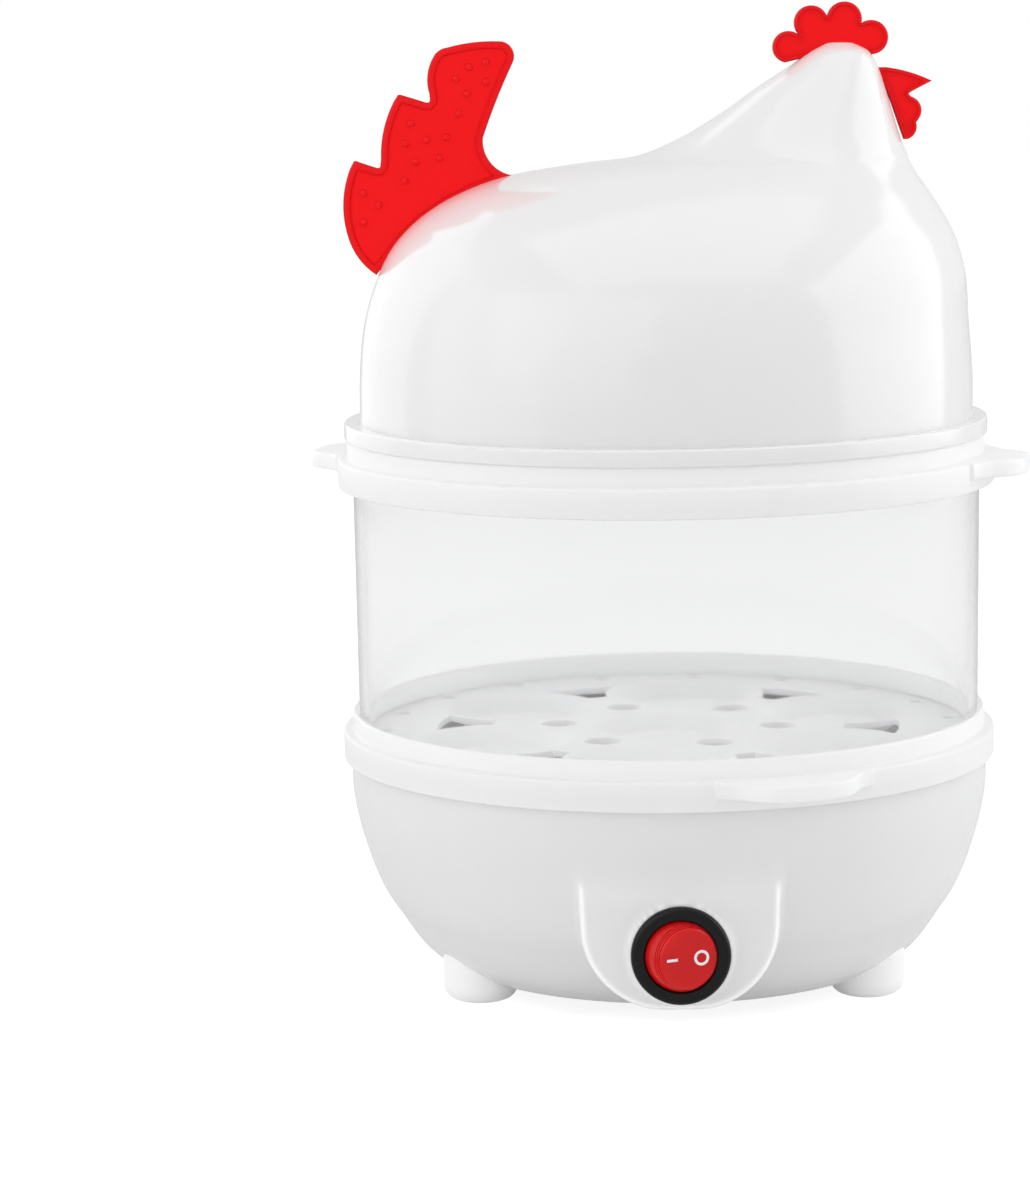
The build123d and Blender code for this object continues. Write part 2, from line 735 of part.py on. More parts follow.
# The bar on the rocker's raised side and the ring on its pressed side
with BuildSketch(face_plane) as marks:
    with Locations((-mark_offset, 0)):
        Rectangle(on_bar_length, mark_line)
    with Locations((mark_offset, 0)):
        Circle(off_ring_radius)
        Circle(off_ring_radius - mark_line, mode=Mode.SUBTRACT)
with BuildPart() as face_hollow:
    with Locations((0, -rocker_face_height - rocker_face_hollow_radius + rocker_face_hollow_depth, 0)):
        Cylinder(rocker_face_hollow_radius, 4 * rocker_radius)
with BuildPart(rocker_plane) as rocker:
    Sphere(rocker_radius)
    Sphere(rocker_radius - rocker_skin, mode=Mode.SUBTRACT)
    with Locations((0, -rocker_face_height + rocker_skin / 2, 0)):
        Box(2 * rocker_radius, rocker_skin, 2 * rocker_radius)
    with Locations((0, -rocker_face_height / 2, 0)):
        Cylinder(post_radius, rocker_face_height, rotation=(90, 0, 0))
    Sphere(rocker_radius, mode=Mode.INTERSECT)
    with Locations((0, -rocker_face_height - rocker_radius, 0)):
        Box(4 * rocker_radius, 2 * rocker_radius, 4 * rocker_radius, mode=Mode.SUBTRACT)
    with Locations((0, rocker_back + rocker_radius, 0)):
        Box(4 * rocker_radius, 2 * rocker_radius, 4 * rocker_radius, mode=Mode.SUBTRACT)
    add(face_hollow.part, mode=Mode.SUBTRACT)
    with Locations((0, spring_seat / 2, 0)):
        Cylinder(plunger_radius + plunger_clearance, -spring_seat, rotation=(90, 0, 0), mode=Mode.SUBTRACT)
    trunnion_length = switch_body_radius - rocker_radius + 2 * trunnion_sink
    trunnion_middle = switch_body_radius - trunnion_length / 2
    with Locations((0, 0, trunnion_middle), (0, 0, -trunnion_middle)):
        Cylinder(trunnion_radius, trunnion_length)
    extrude(marks.sketch, amount=-mark_floor, mode=Mode.SUBTRACT)
save(rocker.part, "rocker")

# White marks let into the rocker's face
with BuildPart(rocker_plane) as rocker_marks:
    extrude(marks.sketch, amount=-mark_floor)
    add(face_hollow.part, mode=Mode.SUBTRACT)
save(rocker_marks.part, "rocker_marks")

# Plunger in the rocker's post and the spring behind it
with BuildPart(rocker_plane) as rocker_plunger:
    straight = plunger_reach - plunger_radius - plunger_back
    with Locations((0, plunger_back + straight / 2, 0)):
        Cylinder(plunger_radius, straight, rotation=(90, 0, 0))
    with Locations((0, plunger_reach - plunger_radius, 0)):
        Sphere(plunger_radius)
save(rocker_plunger.part, "rocker_plunger")
spring_length = plunger_back - spring_seat - 2 * (spring_wire_radius + spring_end_gap)
spring_foot = rocker_plane.from_local_coords((0, spring_seat + spring_wire_radius + spring_end_gap, 0))
with BuildPart() as plunger_spring:
    with BuildLine():
        coil = Helix(
            spring_length / spring_turns, spring_length, spring_radius,
            center=spring_foot, direction=rocker_plane.y_dir,
        )
    with BuildSketch(Plane(origin=coil @ 0, z_dir=coil % 0)):
        Circle(spring_wire_radius)
    sweep(path=coil, is_frenet=True)
save(plunger_spring.part, "plunger_spring")

# See-saw contact in its resting pose, open on the load side
bridge_plane = Plane(
    origin=(0, bridge_back, switch_height),
    x_dir=(cos(radians(bridge_tilt)), -sin(radians(bridge_tilt)), 0),
    z_dir=(0, 0, 1),
)
with BuildPart(bridge_plane) as contact_bridge:
    with Locations((0, -bridge_thickness / 2, 0)):
        Box(bridge_length, bridge_thickness, bridge_width)
    with Locations((button_offset, button_thickness / 2, 0)):
        Cylinder(button_radius, button_thickness, rotation=(90, 0, 0))
save(contact_bridge.part, "contact_bridge")

# Three blades through the switch's floor: neutral for the lamp, supply, and load with its contact
closed_button = (button_offset + button_radius) * sin(radians(bridge_tilt)) + button_thickness
contact_top = bridge_back + closed_button + contact_gap
blade_fronts = {
    "lamp_terminal": (-blade_spacing, switch_floor_y),
    "supply_terminal": (0, bridge_back + contact_gap),
    "load_terminal": (blade_spacing, switch_floor_y),
}
for blade_name, (blade_x, blade_front) in blade_fronts.items():
    with BuildPart() as blade:
        with BuildSketch(switch_plane.offset(bezel_back - blade_tip)):
            with Locations((blade_x, 0)):
                Rectangle(blade_thickness, blade_width)
        extrude(amount=blade_tip - blade_front)
        if blade_name == "load_terminal":
            with BuildSketch(switch_plane.offset(bezel_back - switch_floor_y)):
                with Locations((button_offset, 0)):
                    Circle(button_radius + button_thickness)
            extrude(amount=switch_floor_y - contact_top)
    save(blade.part, blade_name)


def lead_out(start, reach, lift):
    """A lamp or resistor lead that bends down onto the switch's floor."""
    return [start, (reach, start[1], start[2]), (reach, start[1] + lift, start[2])]


def add_tube(points, radius, radii):
    """Sweep a round section along runs joined by arcs, inside the open part."""
    with BuildLine() as route:
        FilletPolyline(*points, radius=radii)
    with BuildSketch(Plane(origin=points[0], z_dir=Vector(*points[1]) - Vector(*points[0]))) as section:
        Circle(radius)
    sweep(section.sketch, path=route.wires()[0])


lamp_y = switch_floor_y - lamp_lift
for lamp_name, lamp_side, body_radius, body_length in (
    ("neon_lamp", lamp_offset, lamp_radius, lamp_length),
    ("lamp_resistor", -lamp_offset, resistor_radius, resistor_length),
):
    lamp_height = switch_height + lamp_side
    with BuildPart() as lamp:
        with Locations((0, lamp_y, lamp_height)):
            Cylinder(body_radius, body_length, rotation=(0, 90, 0))
        fillet(edges().filter_by(GeomType.CIRCLE), lamp_end_rounding)
        for side in (-1, 1):
            inside = (side * (body_length / 2 - body_radius), lamp_y, lamp_height)
            lead = lead_out(inside, side * lamp_lead_offset, lamp_lift)
            add_tube(lead, lamp_lead_radius, [3 * lamp_lead_radius])
    save(lamp.part, lamp_name)

# Push-on receptacles on the switch blades, thermostat blades and element pins
receptacle_end = blade_tip - receptacle_overlap + receptacle_length
switch_blade_places = [side * blade_spacing for side in (-1, 0, 1)]
with BuildPart() as switch_receptacles:
    with BuildSketch(switch_plane.offset(bezel_back - receptacle_end)):
        with Locations(*[(x, 0) for x in switch_blade_places]):
            Rectangle(receptacle_thickness, receptacle_width)
    extrude(amount=receptacle_length)
    with BuildSketch(switch_plane.offset(bezel_back - blade_tip)):
        with Locations(*[(x, 0) for x in switch_blade_places]):
            Rectangle(blade_thickness + 2 * blade_clearance, blade_width + 2 * blade_clearance)
    extrude(amount=receptacle_length, mode=Mode.SUBTRACT)
save(switch_receptacles.part, "switch_receptacles")

thermostat_blade_tip = thermostat_bottom - thermostat_blade_length
thermostat_receptacle_end = thermostat_blade_tip + receptacle_overlap - receptacle_length
with BuildPart() as thermostat_receptacles:
    with BuildSketch(Plane.XY.offset(thermostat_receptacle_end)):
        with Locations(*thermostat_blade_places):
            Rectangle(receptacle_thickness, thermostat_blade_width + receptacle_width - blade_width)
    extrude(amount=receptacle_length)
    with BuildSketch(Plane.XY.offset(thermostat_blade_tip)):
        with Locations(*thermostat_blade_places):
            Rectangle(blade_thickness + 2 * blade_clearance, thermostat_blade_width + 2 * blade_clearance)
    extrude(amount=receptacle_length, mode=Mode.SUBTRACT)
save(thermostat_receptacles.part, "thermostat_receptacles")

element_receptacle_end = pin_bottom + receptacle_overlap - receptacle_length
with BuildPart() as element_receptacles:
    with BuildSketch(Plane.XY.offset(element_receptacle_end)):
        with Locations(*leg_places):
            Circle(round_receptacle_radius)
    extrude(amount=receptacle_length)
    with BuildSketch(Plane.XY.offset(pin_bottom)):
        with Locations(*leg_places):
            Circle(pin_radius + blade_clearance)
    extrude(amount=receptacle_length, mode=Mode.SUBTRACT)
save(element_receptacles.part, "element_receptacles")

# Splices where the supply's cores join the inner wiring
with BuildPart() as wire_splices:
    with BuildSketch(Plane(origin=(0, splice_front, outlet_height), x_dir=(-1, 0, 0), z_dir=(0, 1, 0))):
        with Locations((-splice_offset, 0), (splice_offset, 0)):
            Circle(splice_radius)
    extrude(amount=splice_length)
    fillet(edges().filter_by(GeomType.CIRCLE), splice_rounding)
save(wire_splices.part, "wire_splices")


def bend_radii(points):
    """The largest arc that fits each corner of a route."""
    radii = []
    for before, corner, after in zip(points, points[1:], points[2:]):
        run_in = Vector(*corner) - Vector(*before)
        run_out = Vector(*after) - Vector(*corner)
        half_turn = radians(run_in.get_angle(run_out) / 2)
        radii.append(bend_share * min(run_in.length, run_out.length) / tan(half_turn))
    return radii


def save_wire(points, name):
    """One insulated wire along its route."""
    with BuildPart() as wire:
        add_tube(points, wire_radius, bend_radii(points))
    save(wire.part, name)


leg_right, leg_left = leg_places
fuse_x, fuse_y, fuse_z = fuse_place
fuse_end = fuse_x + fuse_length
wire_start = receptacle_end + wire_straight
lamp_core = splice_offset - paired_wire_offset
neutral_core = splice_offset + paired_wire_offset
save_wire([
    (0, receptacle_end, switch_height), (0, wire_start, switch_height), (-12, -32, 17), (-25, -12, 14),
    (-26, 10, 15), (-14, 24, 20), (-splice_offset, splice_front - wire_straight, outlet_height),
    (-splice_offset, splice_front, outlet_height),
], "supply_wire")
save_wire([
    (blade_spacing, receptacle_end, switch_height), (blade_spacing, wire_start, switch_height),
    (5, -30, 15), (-2, -14, 11), (-thermostat_blade_offset, 0, low_turn),
    (-thermostat_blade_offset, 0, thermostat_receptacle_end),
], "load_wire")
save_wire([
    (-blade_spacing, receptacle_end, switch_height), (-blade_spacing, wire_start, switch_height),
    (-17, -34, 22), (-19, -12, 21), (-12, 10, 22),
    (lamp_core, splice_front - wire_straight, outlet_height), (lamp_core, splice_front, outlet_height),
], "lamp_wire")
save_wire([
    (neutral_core, splice_front, outlet_height),
    (neutral_core, splice_front - wire_straight, outlet_height),
    (14, 16, 13), (24, 12, lowest_turn), (*leg_left, lowest_turn), (*leg_left, element_receptacle_end),
], "neutral_wire")
save_wire([
    (thermostat_blade_offset, 0, thermostat_receptacle_end),
    (thermostat_blade_offset, 0, thermostat_receptacle_end - fuse_straight),
    (fuse_x - fuse_straight, fuse_y, fuse_z), (fuse_x, fuse_y, fuse_z),
], "fuse_lead_in")
save_wire([
    (fuse_end, fuse_y, fuse_z), (fuse_end + fuse_straight, fuse_y, fuse_z), (*leg_right, lowest_turn),
    (*leg_right, element_receptacle_end),
], "fuse_lead_out")

# Thermal fuse in its sleeve
with BuildPart() as thermal_fuse:
    with BuildSketch(Plane.YZ.offset(fuse_x)):
        with Locations((fuse_y, fuse_z)):
            Circle(fuse_radius)
    extrude(amount=fuse_length)
save(thermal_fuse.part, "thermal_fuse")
with BuildPart() as fuse_sleeve:
    with BuildSketch(Plane.YZ.offset(fuse_x)):
        with Locations((fuse_y, fuse_z)):
            Circle(fuse_radius + sleeve_wall + screw_clearance)
            Circle(fuse_radius + screw_clearance, mode=Mode.SUBTRACT)
    extrude(amount=fuse_length)
save(fuse_sleeve.part, "fuse_sleeve")

# Cord outlet: a rubber grommet in the back wall and a clamp bar behind it
with BuildPart() as cord_grommet:
    with BuildSketch(outlet_plane):
        Circle(grommet_flange_radius)
    extrude(amount=grommet_flange)
    fillet(faces().sort_by(Axis.Y)[-1].outer_wire().edges(), grommet_rounding)
    with BuildSketch(outlet_plane):
        Circle(grommet_neck_radius)
    extrude(amount=-(grommet_length - grommet_flange))
    with BuildSketch(outlet_plane.offset(-(grommet_length - grommet_flange))):
        Circle(grommet_inner_flange_radius)
    extrude(amount=grommet_flange)
    with BuildSketch(outlet_plane.offset(grommet_flange)):
        Circle(grommet_bore_radius)
    extrude(amount=-grommet_length, mode=Mode.SUBTRACT)
save(cord_grommet.part, "cord_grommet")
with BuildPart() as cord_clamp:
    with BuildSketch(outlet_plane.offset(clamp_place - clamp_bar_width / 2 - outlet_pad_front)):
        with Locations((0, clamp_bar_height / 2)):
            Rectangle(clamp_bar_length, clamp_bar_height)
        Circle(grommet_bore_radius, mode=Mode.SUBTRACT)
    extrude(amount=clamp_bar_width)
    with BuildSketch(Plane.XY.offset(outlet_height)):
        with Locations(*clamp_screw_places):
            Circle(screw_radius + screw_clearance)
    extrude(amount=clamp_bar_height, mode=Mode.SUBTRACT)
save(cord_clamp.part, "cord_clamp")
clamp_head_base = outlet_height + clamp_bar_height
screw_set(clamp_screw_places, clamp_head_base, clamp_screw_length, "clamp_screws", heads_below=False)


def ear_outline():
    """Half outline of a tray's lifting ear, from its root in the skirt's wall to its tip."""
    root = sqrt(ear_root_radius**2 - ear_root_half_width**2)
    outer_points = [(skirt_radius + reach, half_width) for reach, half_width in ear_stations]
    return [(root, ear_root_half_width)] + outer_points


def make_tray(base, ear_angle, name):
    """An egg tray whose plate rests on what carries it at the height base."""
    plate_top = base + plate_thickness
    seat_spots = polar_places(seat_pitch_radius, seat_count, seat_turn)
    hole_spots = polar_places(vent_hole_pitch_radius, seat_count, seat_turn - 180 / seat_count)
    half = ear_outline()
    with BuildPart() as tray:
        with BuildSketch(Plane.XZ):
            with BuildLine():
                Polyline(
                    (0, base), (skirt_inner_radius, base), (skirt_inner_radius, base - skirt_drop),
                    (skirt_radius, base - skirt_drop), (skirt_radius, base + skirt_rise),
                    (collar_radius, base + skirt_rise), (collar_radius, base + collar_top),
                    (collar_inner_radius, base + collar_top), (collar_inner_radius, plate_top),
                    (0, plate_top), close=True,
                )
            make_face()
        revolve(axis=Axis.Z)
        for turn in (ear_angle, ear_angle + 180):
            with BuildSketch(Plane.XY.offset(base + skirt_rise).rotated((0, 0, turn))):
                with BuildLine():
                    upper = Spline(*half, tangents=[(0.75, -1), (0, -1)])
                    mirror(upper, about=Plane.XZ)
                    ThreePointArc(half[0], (ear_root_radius, 0), (half[0][0], -half[0][1]))
                make_face()
            extrude(amount=-ear_thickness)
        for spot in [(0, 0)] + seat_spots:
            with Locations((spot[0], spot[1], plate_top - (seat_depth + seat_wall) / 2)):
                Cone(seat_floor_radius + seat_wall, seat_top_radius + seat_wall, seat_depth + seat_wall)
            with Locations((spot[0], spot[1], plate_top - seat_depth / 2)):
                Cone(seat_floor_radius, seat_top_radius, seat_depth, mode=Mode.SUBTRACT)
        with BuildSketch(Plane.XY.offset(base - seat_depth)):
            Circle(vent_outer_radius)
            Circle(vent_inner_radius, mode=Mode.SUBTRACT)
            with Locations(*seat_spots):
                Circle(seat_top_radius + vent_web, mode=Mode.SUBTRACT)
            with Locations(*hole_spots):
                Circle(vent_hole_radius)
            with Locations(*polar_places(drain_hole_pitch_radius, drain_hole_count, seat_turn)):
                Circle(drain_hole_radius)
        extrude(amount=seat_depth + plate_thickness, mode=Mode.SUBTRACT)
    save(tray.part, name)


make_tray(lower_tray_height, lower_ear_angle, "lower_tray")
make_tray(upper_tray_height, upper_ear_angle, "upper_tray")

# Clear tier: a plain tube, a little wider at its top
with BuildPart() as tier_ring:
    with BuildSketch(Plane.XZ):
        with BuildLine():
            tier_top = tier_place + tier_height
            Polyline(
                (tier_bottom_radius - tier_wall, tier_place), (tier_bottom_radius, tier_place),
                (tier_top_radius, tier_top), (tier_top_radius - tier_wall, tier_top), close=True,
            )
        make_face()
    revolve(axis=Axis.Z)
save(tier_ring.part, "tier_ring")


def hen_outline(station, inset):
    """One level outline of the hen's body, moved in and down by inset."""
    height, back, front, half_width = station
    with BuildSketch(Plane.XY.offset(height - inset)) as level:
        with Locations(((back + front) / 2 * hen_scale, 0)):
            Ellipse((front - back) / 2 * hen_scale - inset, half_width * hen_scale - inset)
    return level.sketch


def hen_solid(inset):
    """The hen's body through all its level outlines."""
    with BuildPart() as solid:
        loft([hen_outline(station, inset) for station in lid_stations])
    return solid.part


def on_hen(x, height):
    """A point of the hen's middle plane, drawn out with its body."""
    return (x * hen_scale, height)


def tab_sketch(place, grow):
    """A tab seen from the side: it stands square on the lid and passes through its wall."""
    x, height, lean = place
    middle = (tab_outside - tab_inside) / 2
    with BuildSketch(Plane.XZ) as tab:
        with Locations(Location((*on_hen(x, height), 0), (0, 0, lean))):
            with Locations((middle, 0)):
                Rectangle(tab_outside + tab_inside + 2 * grow, tab_width + 2 * grow)
    return tab.sketch


hen_outside = hen_solid(0)
trim_tabs = tail_tabs + [comb_tab, beak_tab]

# Lid shell: the hen's body on a flange, with a spigot that drops into the upper collar
with BuildPart() as lid_shell:
    add(hen_outside)
    with BuildSketch(Plane.XY.offset(lid_seat_height)):
        Circle(lid_flange_radius)
    extrude(amount=lid_flange_height)
    fillet(edges().group_by(Axis.Z)[0], lid_flange_rounding)
    with BuildSketch(Plane.XY.offset(lid_seat_height)):
        Circle(tier_bottom_radius)
    extrude(amount=-lid_spigot_length)
    add(hen_solid(lid_wall), mode=Mode.SUBTRACT)
    lid_mouth = hen_outline(lid_stations[0], lid_wall)
    extrude(lid_mouth, amount=-lid_flange_height - lid_spigot_length, mode=Mode.SUBTRACT)
    slot_half_width = tab_thickness / 2 + trim_clearance
    for trim_tab in trim_tabs:
        slot = tab_sketch(trim_tab, trim_clearance)
        extrude(slot, amount=slot_half_width, both=True, mode=Mode.SUBTRACT)
save(lid_shell.part, "lid_shell")


def tail_face(inset):
    """The tail's three feathers, from the bottom tip round to the right tip, moved in by inset."""
    with BuildSketch(Plane.XZ) as outline:
        with BuildLine():
            ThreePointArc(on_hen(-69.6, 173.6), on_hen(-73.6, 177.4), on_hen(-76.3, 183.0))
            ThreePointArc(on_hen(-76.3, 183.0), on_hen(-77.3, 190.4), on_hen(-74.4, 201.2))
            Line(on_hen(-74.4, 201.2), on_hen(-68.2, 199.2))
            ThreePointArc(on_hen(-68.2, 199.2), on_hen(-66.9, 209.4), on_hen(-63.2, 217.0))
            Line(on_hen(-63.2, 217.0), on_hen(-55.8, 214.6))
            ThreePointArc(on_hen(-55.8, 214.6), on_hen(-56.4, 221.0), on_hen(-53.6, 227.2))
            ThreePointArc(on_hen(-53.6, 227.2), on_hen(-47.3, 229.0), on_hen(-39.2, 229.3))
            ThreePointArc(on_hen(-39.2, 229.3), on_hen(-35.6, 227.6), on_hen(-35.7, 224.1))
            ThreePointArc(on_hen(-35.7, 224.1), on_hen(-40.0, 214.6), on_hen(-43.2, 206.2))
            ThreePointArc(on_hen(-43.2, 206.2), on_hen(-41.7, 200.6), on_hen(-34.8, 197.0))
            Polyline(on_hen(-34.8, 197.0), on_hen(-46.0, 188.0), on_hen(-62.0, 174.0), on_hen(-69.6, 173.6))
        make_face()
        if inset:
            offset(amount=-inset, mode=Mode.REPLACE)
    return outline.sketch


# Tail plate with a raised border and small round bumps on both sides
with BuildPart() as tail:
    web = tail_thickness / 2 - tail_recess
    extrude(tail_face(0), amount=tail_thickness / 2, both=True)
    extrude(tail_face(tail_border), amount=tail_thickness, both=True, mode=Mode.SUBTRACT)
    extrude(tail_face(0), amount=web, both=True)
    with Locations(*[(x * hen_scale, side * web, z) for x, z in tail_bumps for side in (-1, 1)]):
        Sphere(tail_bump_radius)
    add(hen_outside, mode=Mode.SUBTRACT)
    for tail_tab in tail_tabs:
        extrude(tab_sketch(tail_tab, 0), amount=tab_thickness / 2, both=True)
save(tail.part, "tail")

# Comb of four round lobes
with BuildPart() as comb:
    with BuildSketch(Plane.XZ):
        for lobe_x, lobe_z, lobe_radius in comb_lobes:
            with Locations(on_hen(lobe_x, lobe_z)):
                Circle(lobe_radius)
        with BuildLine():
            centres = [on_hen(lobe_x, lobe_z) for lobe_x, lobe_z, lobe_radius in comb_lobes]
            Polyline(*centres, on_hen(50.8, 224.2), on_hen(42.0, 220.0), on_hen(30.5, 223.2), close=True)
        make_face()
    extrude(amount=comb_thickness / 2, both=True)
    add(hen_outside, mode=Mode.SUBTRACT)
    extrude(tab_sketch(comb_tab, 0), amount=tab_thickness / 2, both=True)
save(comb.part, "comb")

# Beak with the wattle under it, one plate
with BuildPart() as beak:
    with BuildSketch(Plane.XZ):
        with BuildLine():
            Spline(on_hen(50.0, 221.6), on_hen(56.6, 221.1), on_hen(65.3, 218.3))
            Line(on_hen(65.3, 218.3), on_hen(59.6, 215.3))
            ThreePointArc(on_hen(59.6, 215.3), on_hen(62.7, 211.4), on_hen(61.4, 208.3))
            ThreePointArc(on_hen(61.4, 208.3), on_hen(60.9, 205.4), on_hen(58.6, 204.2))
            Polyline(on_hen(58.6, 204.2), on_hen(54.0, 206.0), on_hen(50.0, 214.0), on_hen(50.0, 221.6))
        make_face()
    extrude(amount=beak_thickness / 2, both=True)
    add(hen_outside, mode=Mode.SUBTRACT)
    extrude(tab_sketch(beak_tab, 0), amount=tab_thickness / 2, both=True)
save(beak.part, "beak")
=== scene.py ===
# Electric egg cooker with a hen-shaped lid, dressed over its CAD frame.
import math
import bpy
import bmesh
import numpy as np
from mathutils import Matrix, Vector
from mathutils.geometry import delaunay_2d_cdt


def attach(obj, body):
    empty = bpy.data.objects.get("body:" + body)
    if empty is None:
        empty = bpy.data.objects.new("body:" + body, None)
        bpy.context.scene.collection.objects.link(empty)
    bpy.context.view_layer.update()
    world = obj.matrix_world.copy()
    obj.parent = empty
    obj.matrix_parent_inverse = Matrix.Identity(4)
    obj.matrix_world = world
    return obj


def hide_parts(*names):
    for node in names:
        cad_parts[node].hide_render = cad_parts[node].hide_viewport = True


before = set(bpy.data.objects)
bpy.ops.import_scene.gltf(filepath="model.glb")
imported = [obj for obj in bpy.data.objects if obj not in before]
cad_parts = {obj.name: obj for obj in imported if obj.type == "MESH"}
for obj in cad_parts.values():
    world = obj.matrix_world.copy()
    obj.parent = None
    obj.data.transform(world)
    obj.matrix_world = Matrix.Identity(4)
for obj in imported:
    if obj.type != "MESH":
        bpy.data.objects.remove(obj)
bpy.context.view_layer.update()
scene = bpy.context.scene
scene.view_settings.view_transform = "Standard"

# Camera: stands a little to the left of the cooker, about 0.93 m away and level with the
# hen's head, looking slightly down.
camera_place = Vector((-0.02903, -0.92767, 0.23107))
camera_yaw = math.radians(0.509)
camera_pitch = math.radians(8.454)
camera_roll = math.radians(-0.950)
sensor_height, focal_pixels, frame_pixels = 36.0, 3810.8, 1200
level_right = Vector((math.cos(camera_yaw), math.sin(camera_yaw), 0))
level_ahead = Vector((-math.sin(camera_yaw), math.cos(camera_yaw), 0))
ahead = level_ahead * math.cos(camera_pitch) - Vector((0, 0, 1)) * math.sin(camera_pitch)
head_up = Vector((0, 0, 1)) * math.cos(camera_pitch) + level_ahead * math.sin(camera_pitch)
camera_right = level_right * math.cos(camera_roll) + head_up * math.sin(camera_roll)
camera_up = head_up * math.cos(camera_roll) - level_right * math.sin(camera_roll)
camera_data = bpy.data.cameras.new("camera")
camera_data.sensor_fit = "VERTICAL"
camera_data.sensor_height = sensor_height
camera_data.lens = focal_pixels / frame_pixels * sensor_height
camera_data.clip_start = 0.05
camera = bpy.data.objects.new("camera", camera_data)
camera.matrix_world = Matrix.Translation(camera_place) @ Matrix((
    camera_right, camera_up, -ahead)).transposed().to_4x4()
scene.collection.objects.link(camera)
scene.camera = camera


# Studio: a white paper floor under soft boxes at both sides and a larger one above. The paper
# shows white to the camera and in glossy plastic, and keeps the cooker's soft shadow.
def link(tree, source, target):
    """Join two sockets."""
    tree.links.new(source, target)


def add_object(name, data):
    """An object in the scene at the origin."""
    made = bpy.data.objects.new(name, data)
    scene.collection.objects.link(made)
    return made


def blank_material(name):
    """A node material with nothing but its output."""
    material = bpy.data.materials.new(name)
    material.use_nodes = True
    material.node_tree.nodes.clear()
    output = material.node_tree.nodes.new("ShaderNodeOutputMaterial")
    return material, material.node_tree, output


def add(tree, kind, **values):
    """A shader node with sockets set, each named with _ for its spaces."""
    node = tree.nodes.new("ShaderNode" + kind)
    for socket, value in values.items():
        node.inputs[socket.replace("_", " ")].default_value = value
    return node


def choose(tree, share, first, second):
    """Mix two shaders by a socket: the first where it is 0, the second where it is 1."""
    mix = add(tree, "MixShader")
    link(tree, share, mix.inputs[0])
    link(tree, first.outputs[0], mix.inputs[1])
    link(tree, second.outputs[0], mix.inputs[2])
    return mix


def paper_material():
    """White paper that glows to the camera, and less so in reflections and through clear plastic."""
    material, tree, output = blank_material("studio_paper")
    layer = add(tree, "BsdfDiffuse", Color=(0.86, 0.86, 0.86, 1))
    rays = add(tree, "LightPath")
    for ray, level, shade in (
        ("Is Glossy Ray", 0.46, 0.3), ("Is Transmission Ray", 0.69, 0.3), ("Is Camera Ray", 0.86, 0.4),
    ):
        bright = add(tree, "AddShader")
        lit = add(tree, "BsdfDiffuse", Color=(shade, shade, shade, 1))
        link(tree, lit.outputs[0], bright.inputs[0])
        link(tree, add(tree, "Emission", Strength=level).outputs[0], bright.inputs[1])
        layer = choose(tree, rays.outputs[ray], layer, bright)
    link(tree, layer.outputs[0], output.inputs["Surface"])
    return material


floor_mesh = bpy.data.meshes.new("studio_floor")
paper_half = 6
paper_corners = [(paper_half * x, paper_half * y, 0) for x, y in ((-1, -1), (1, -1), (1, 1), (-1, 1))]
floor_mesh.from_pydata(paper_corners, [], [(0, 1, 2, 3)])
floor_mesh.materials.append(paper_material())
floor = add_object("studio_floor", floor_mesh)

world = bpy.data.worlds.new("studio_air")
world.use_nodes = True
air = world.node_tree
air.nodes.clear()
world_output = add(air, "OutputWorld")
air_rays = add(air, "LightPath")
air_layer = add(air, "Background", Strength=0.65)
for ray, level in (("Is Glossy Ray", 0.74), ("Is Transmission Ray", 0.86), ("Is Camera Ray", 1.0)):
    seen_air = add(air, "Background", Color=(1, 1, 1, 1), Strength=level)
    air_layer = choose(air, air_rays.outputs[ray], air_layer, seen_air)
link(air, air_layer.outputs[0], world_output.inputs["Surface"])
scene.world = world

lamps_aim = Vector((0, 0, 0.12))
for lamp_name, lamp_place, lamp_size, lamp_power in (
    ("left_softbox", (-0.54, 0.52, 0.40), (0.78, 0.80), 1.3),
    ("left_fill", (-1.13, -0.39, 0.50), (1.2, 1.1), 2.1),
    ("front_fill", (-0.74, -0.88, 0.72), (1.4, 1.2), 3.6),
    ("right_softbox", (0.80, 0.03, 0.42), (1.0, 0.84), 3.6),
    ("top_softbox", (0.0, -0.1, 1.25), (1.2, 0.9), 2.5),
):
    lamp_data = bpy.data.lights.new(lamp_name, "AREA")
    lamp_data.shape = "RECTANGLE"
    lamp_data.size, lamp_data.size_y = lamp_size
    lamp_data.energy = lamp_power
    lamp = add_object(lamp_name, lamp_data)
    lamp.location = lamp_place
    lamp.rotation_euler = (lamps_aim - Vector(lamp_place)).to_track_quat("-Z", "Y").to_euler()


# Base housing: one glossy white injection moulding, a round bowl with a U-shaped boss for the
# switch on its front, drawn here as rays from a point inside that meet bowl, boss and pads.
rim_height, rim_radius, bowl_wall = 60.2, 78.1, 2.4
bottom_height, bottom_radius = 4.2, 52.0
ray_centre_height = 52.0
switch_height, seat_front, seat_radius = 22.1, 77.9, 12.6
outlet_height, outlet_front, outlet_radius = 24.0, 75.0, 7.0
boss_half, boss_foot, boss_rise, boss_spread = 22.2, 9.0, 41.0, 1.7
boss_corner, boss_bend, boss_reach = 18.0, 27.0, 77.8
lean_from, lean_over, boss_lean = 33.0, 10.0, 1.6


def curve_point(a, way_a, b, way_b, t):
    """A point of the smooth curve from a to b, with its ways at both ends."""
    return ((2 * t**3 - 3 * t**2 + 1) * a + (t**3 - 2 * t**2 + t) * way_a
            + (-2 * t**3 + 3 * t**2) * b + (t**3 - t**2) * way_b)


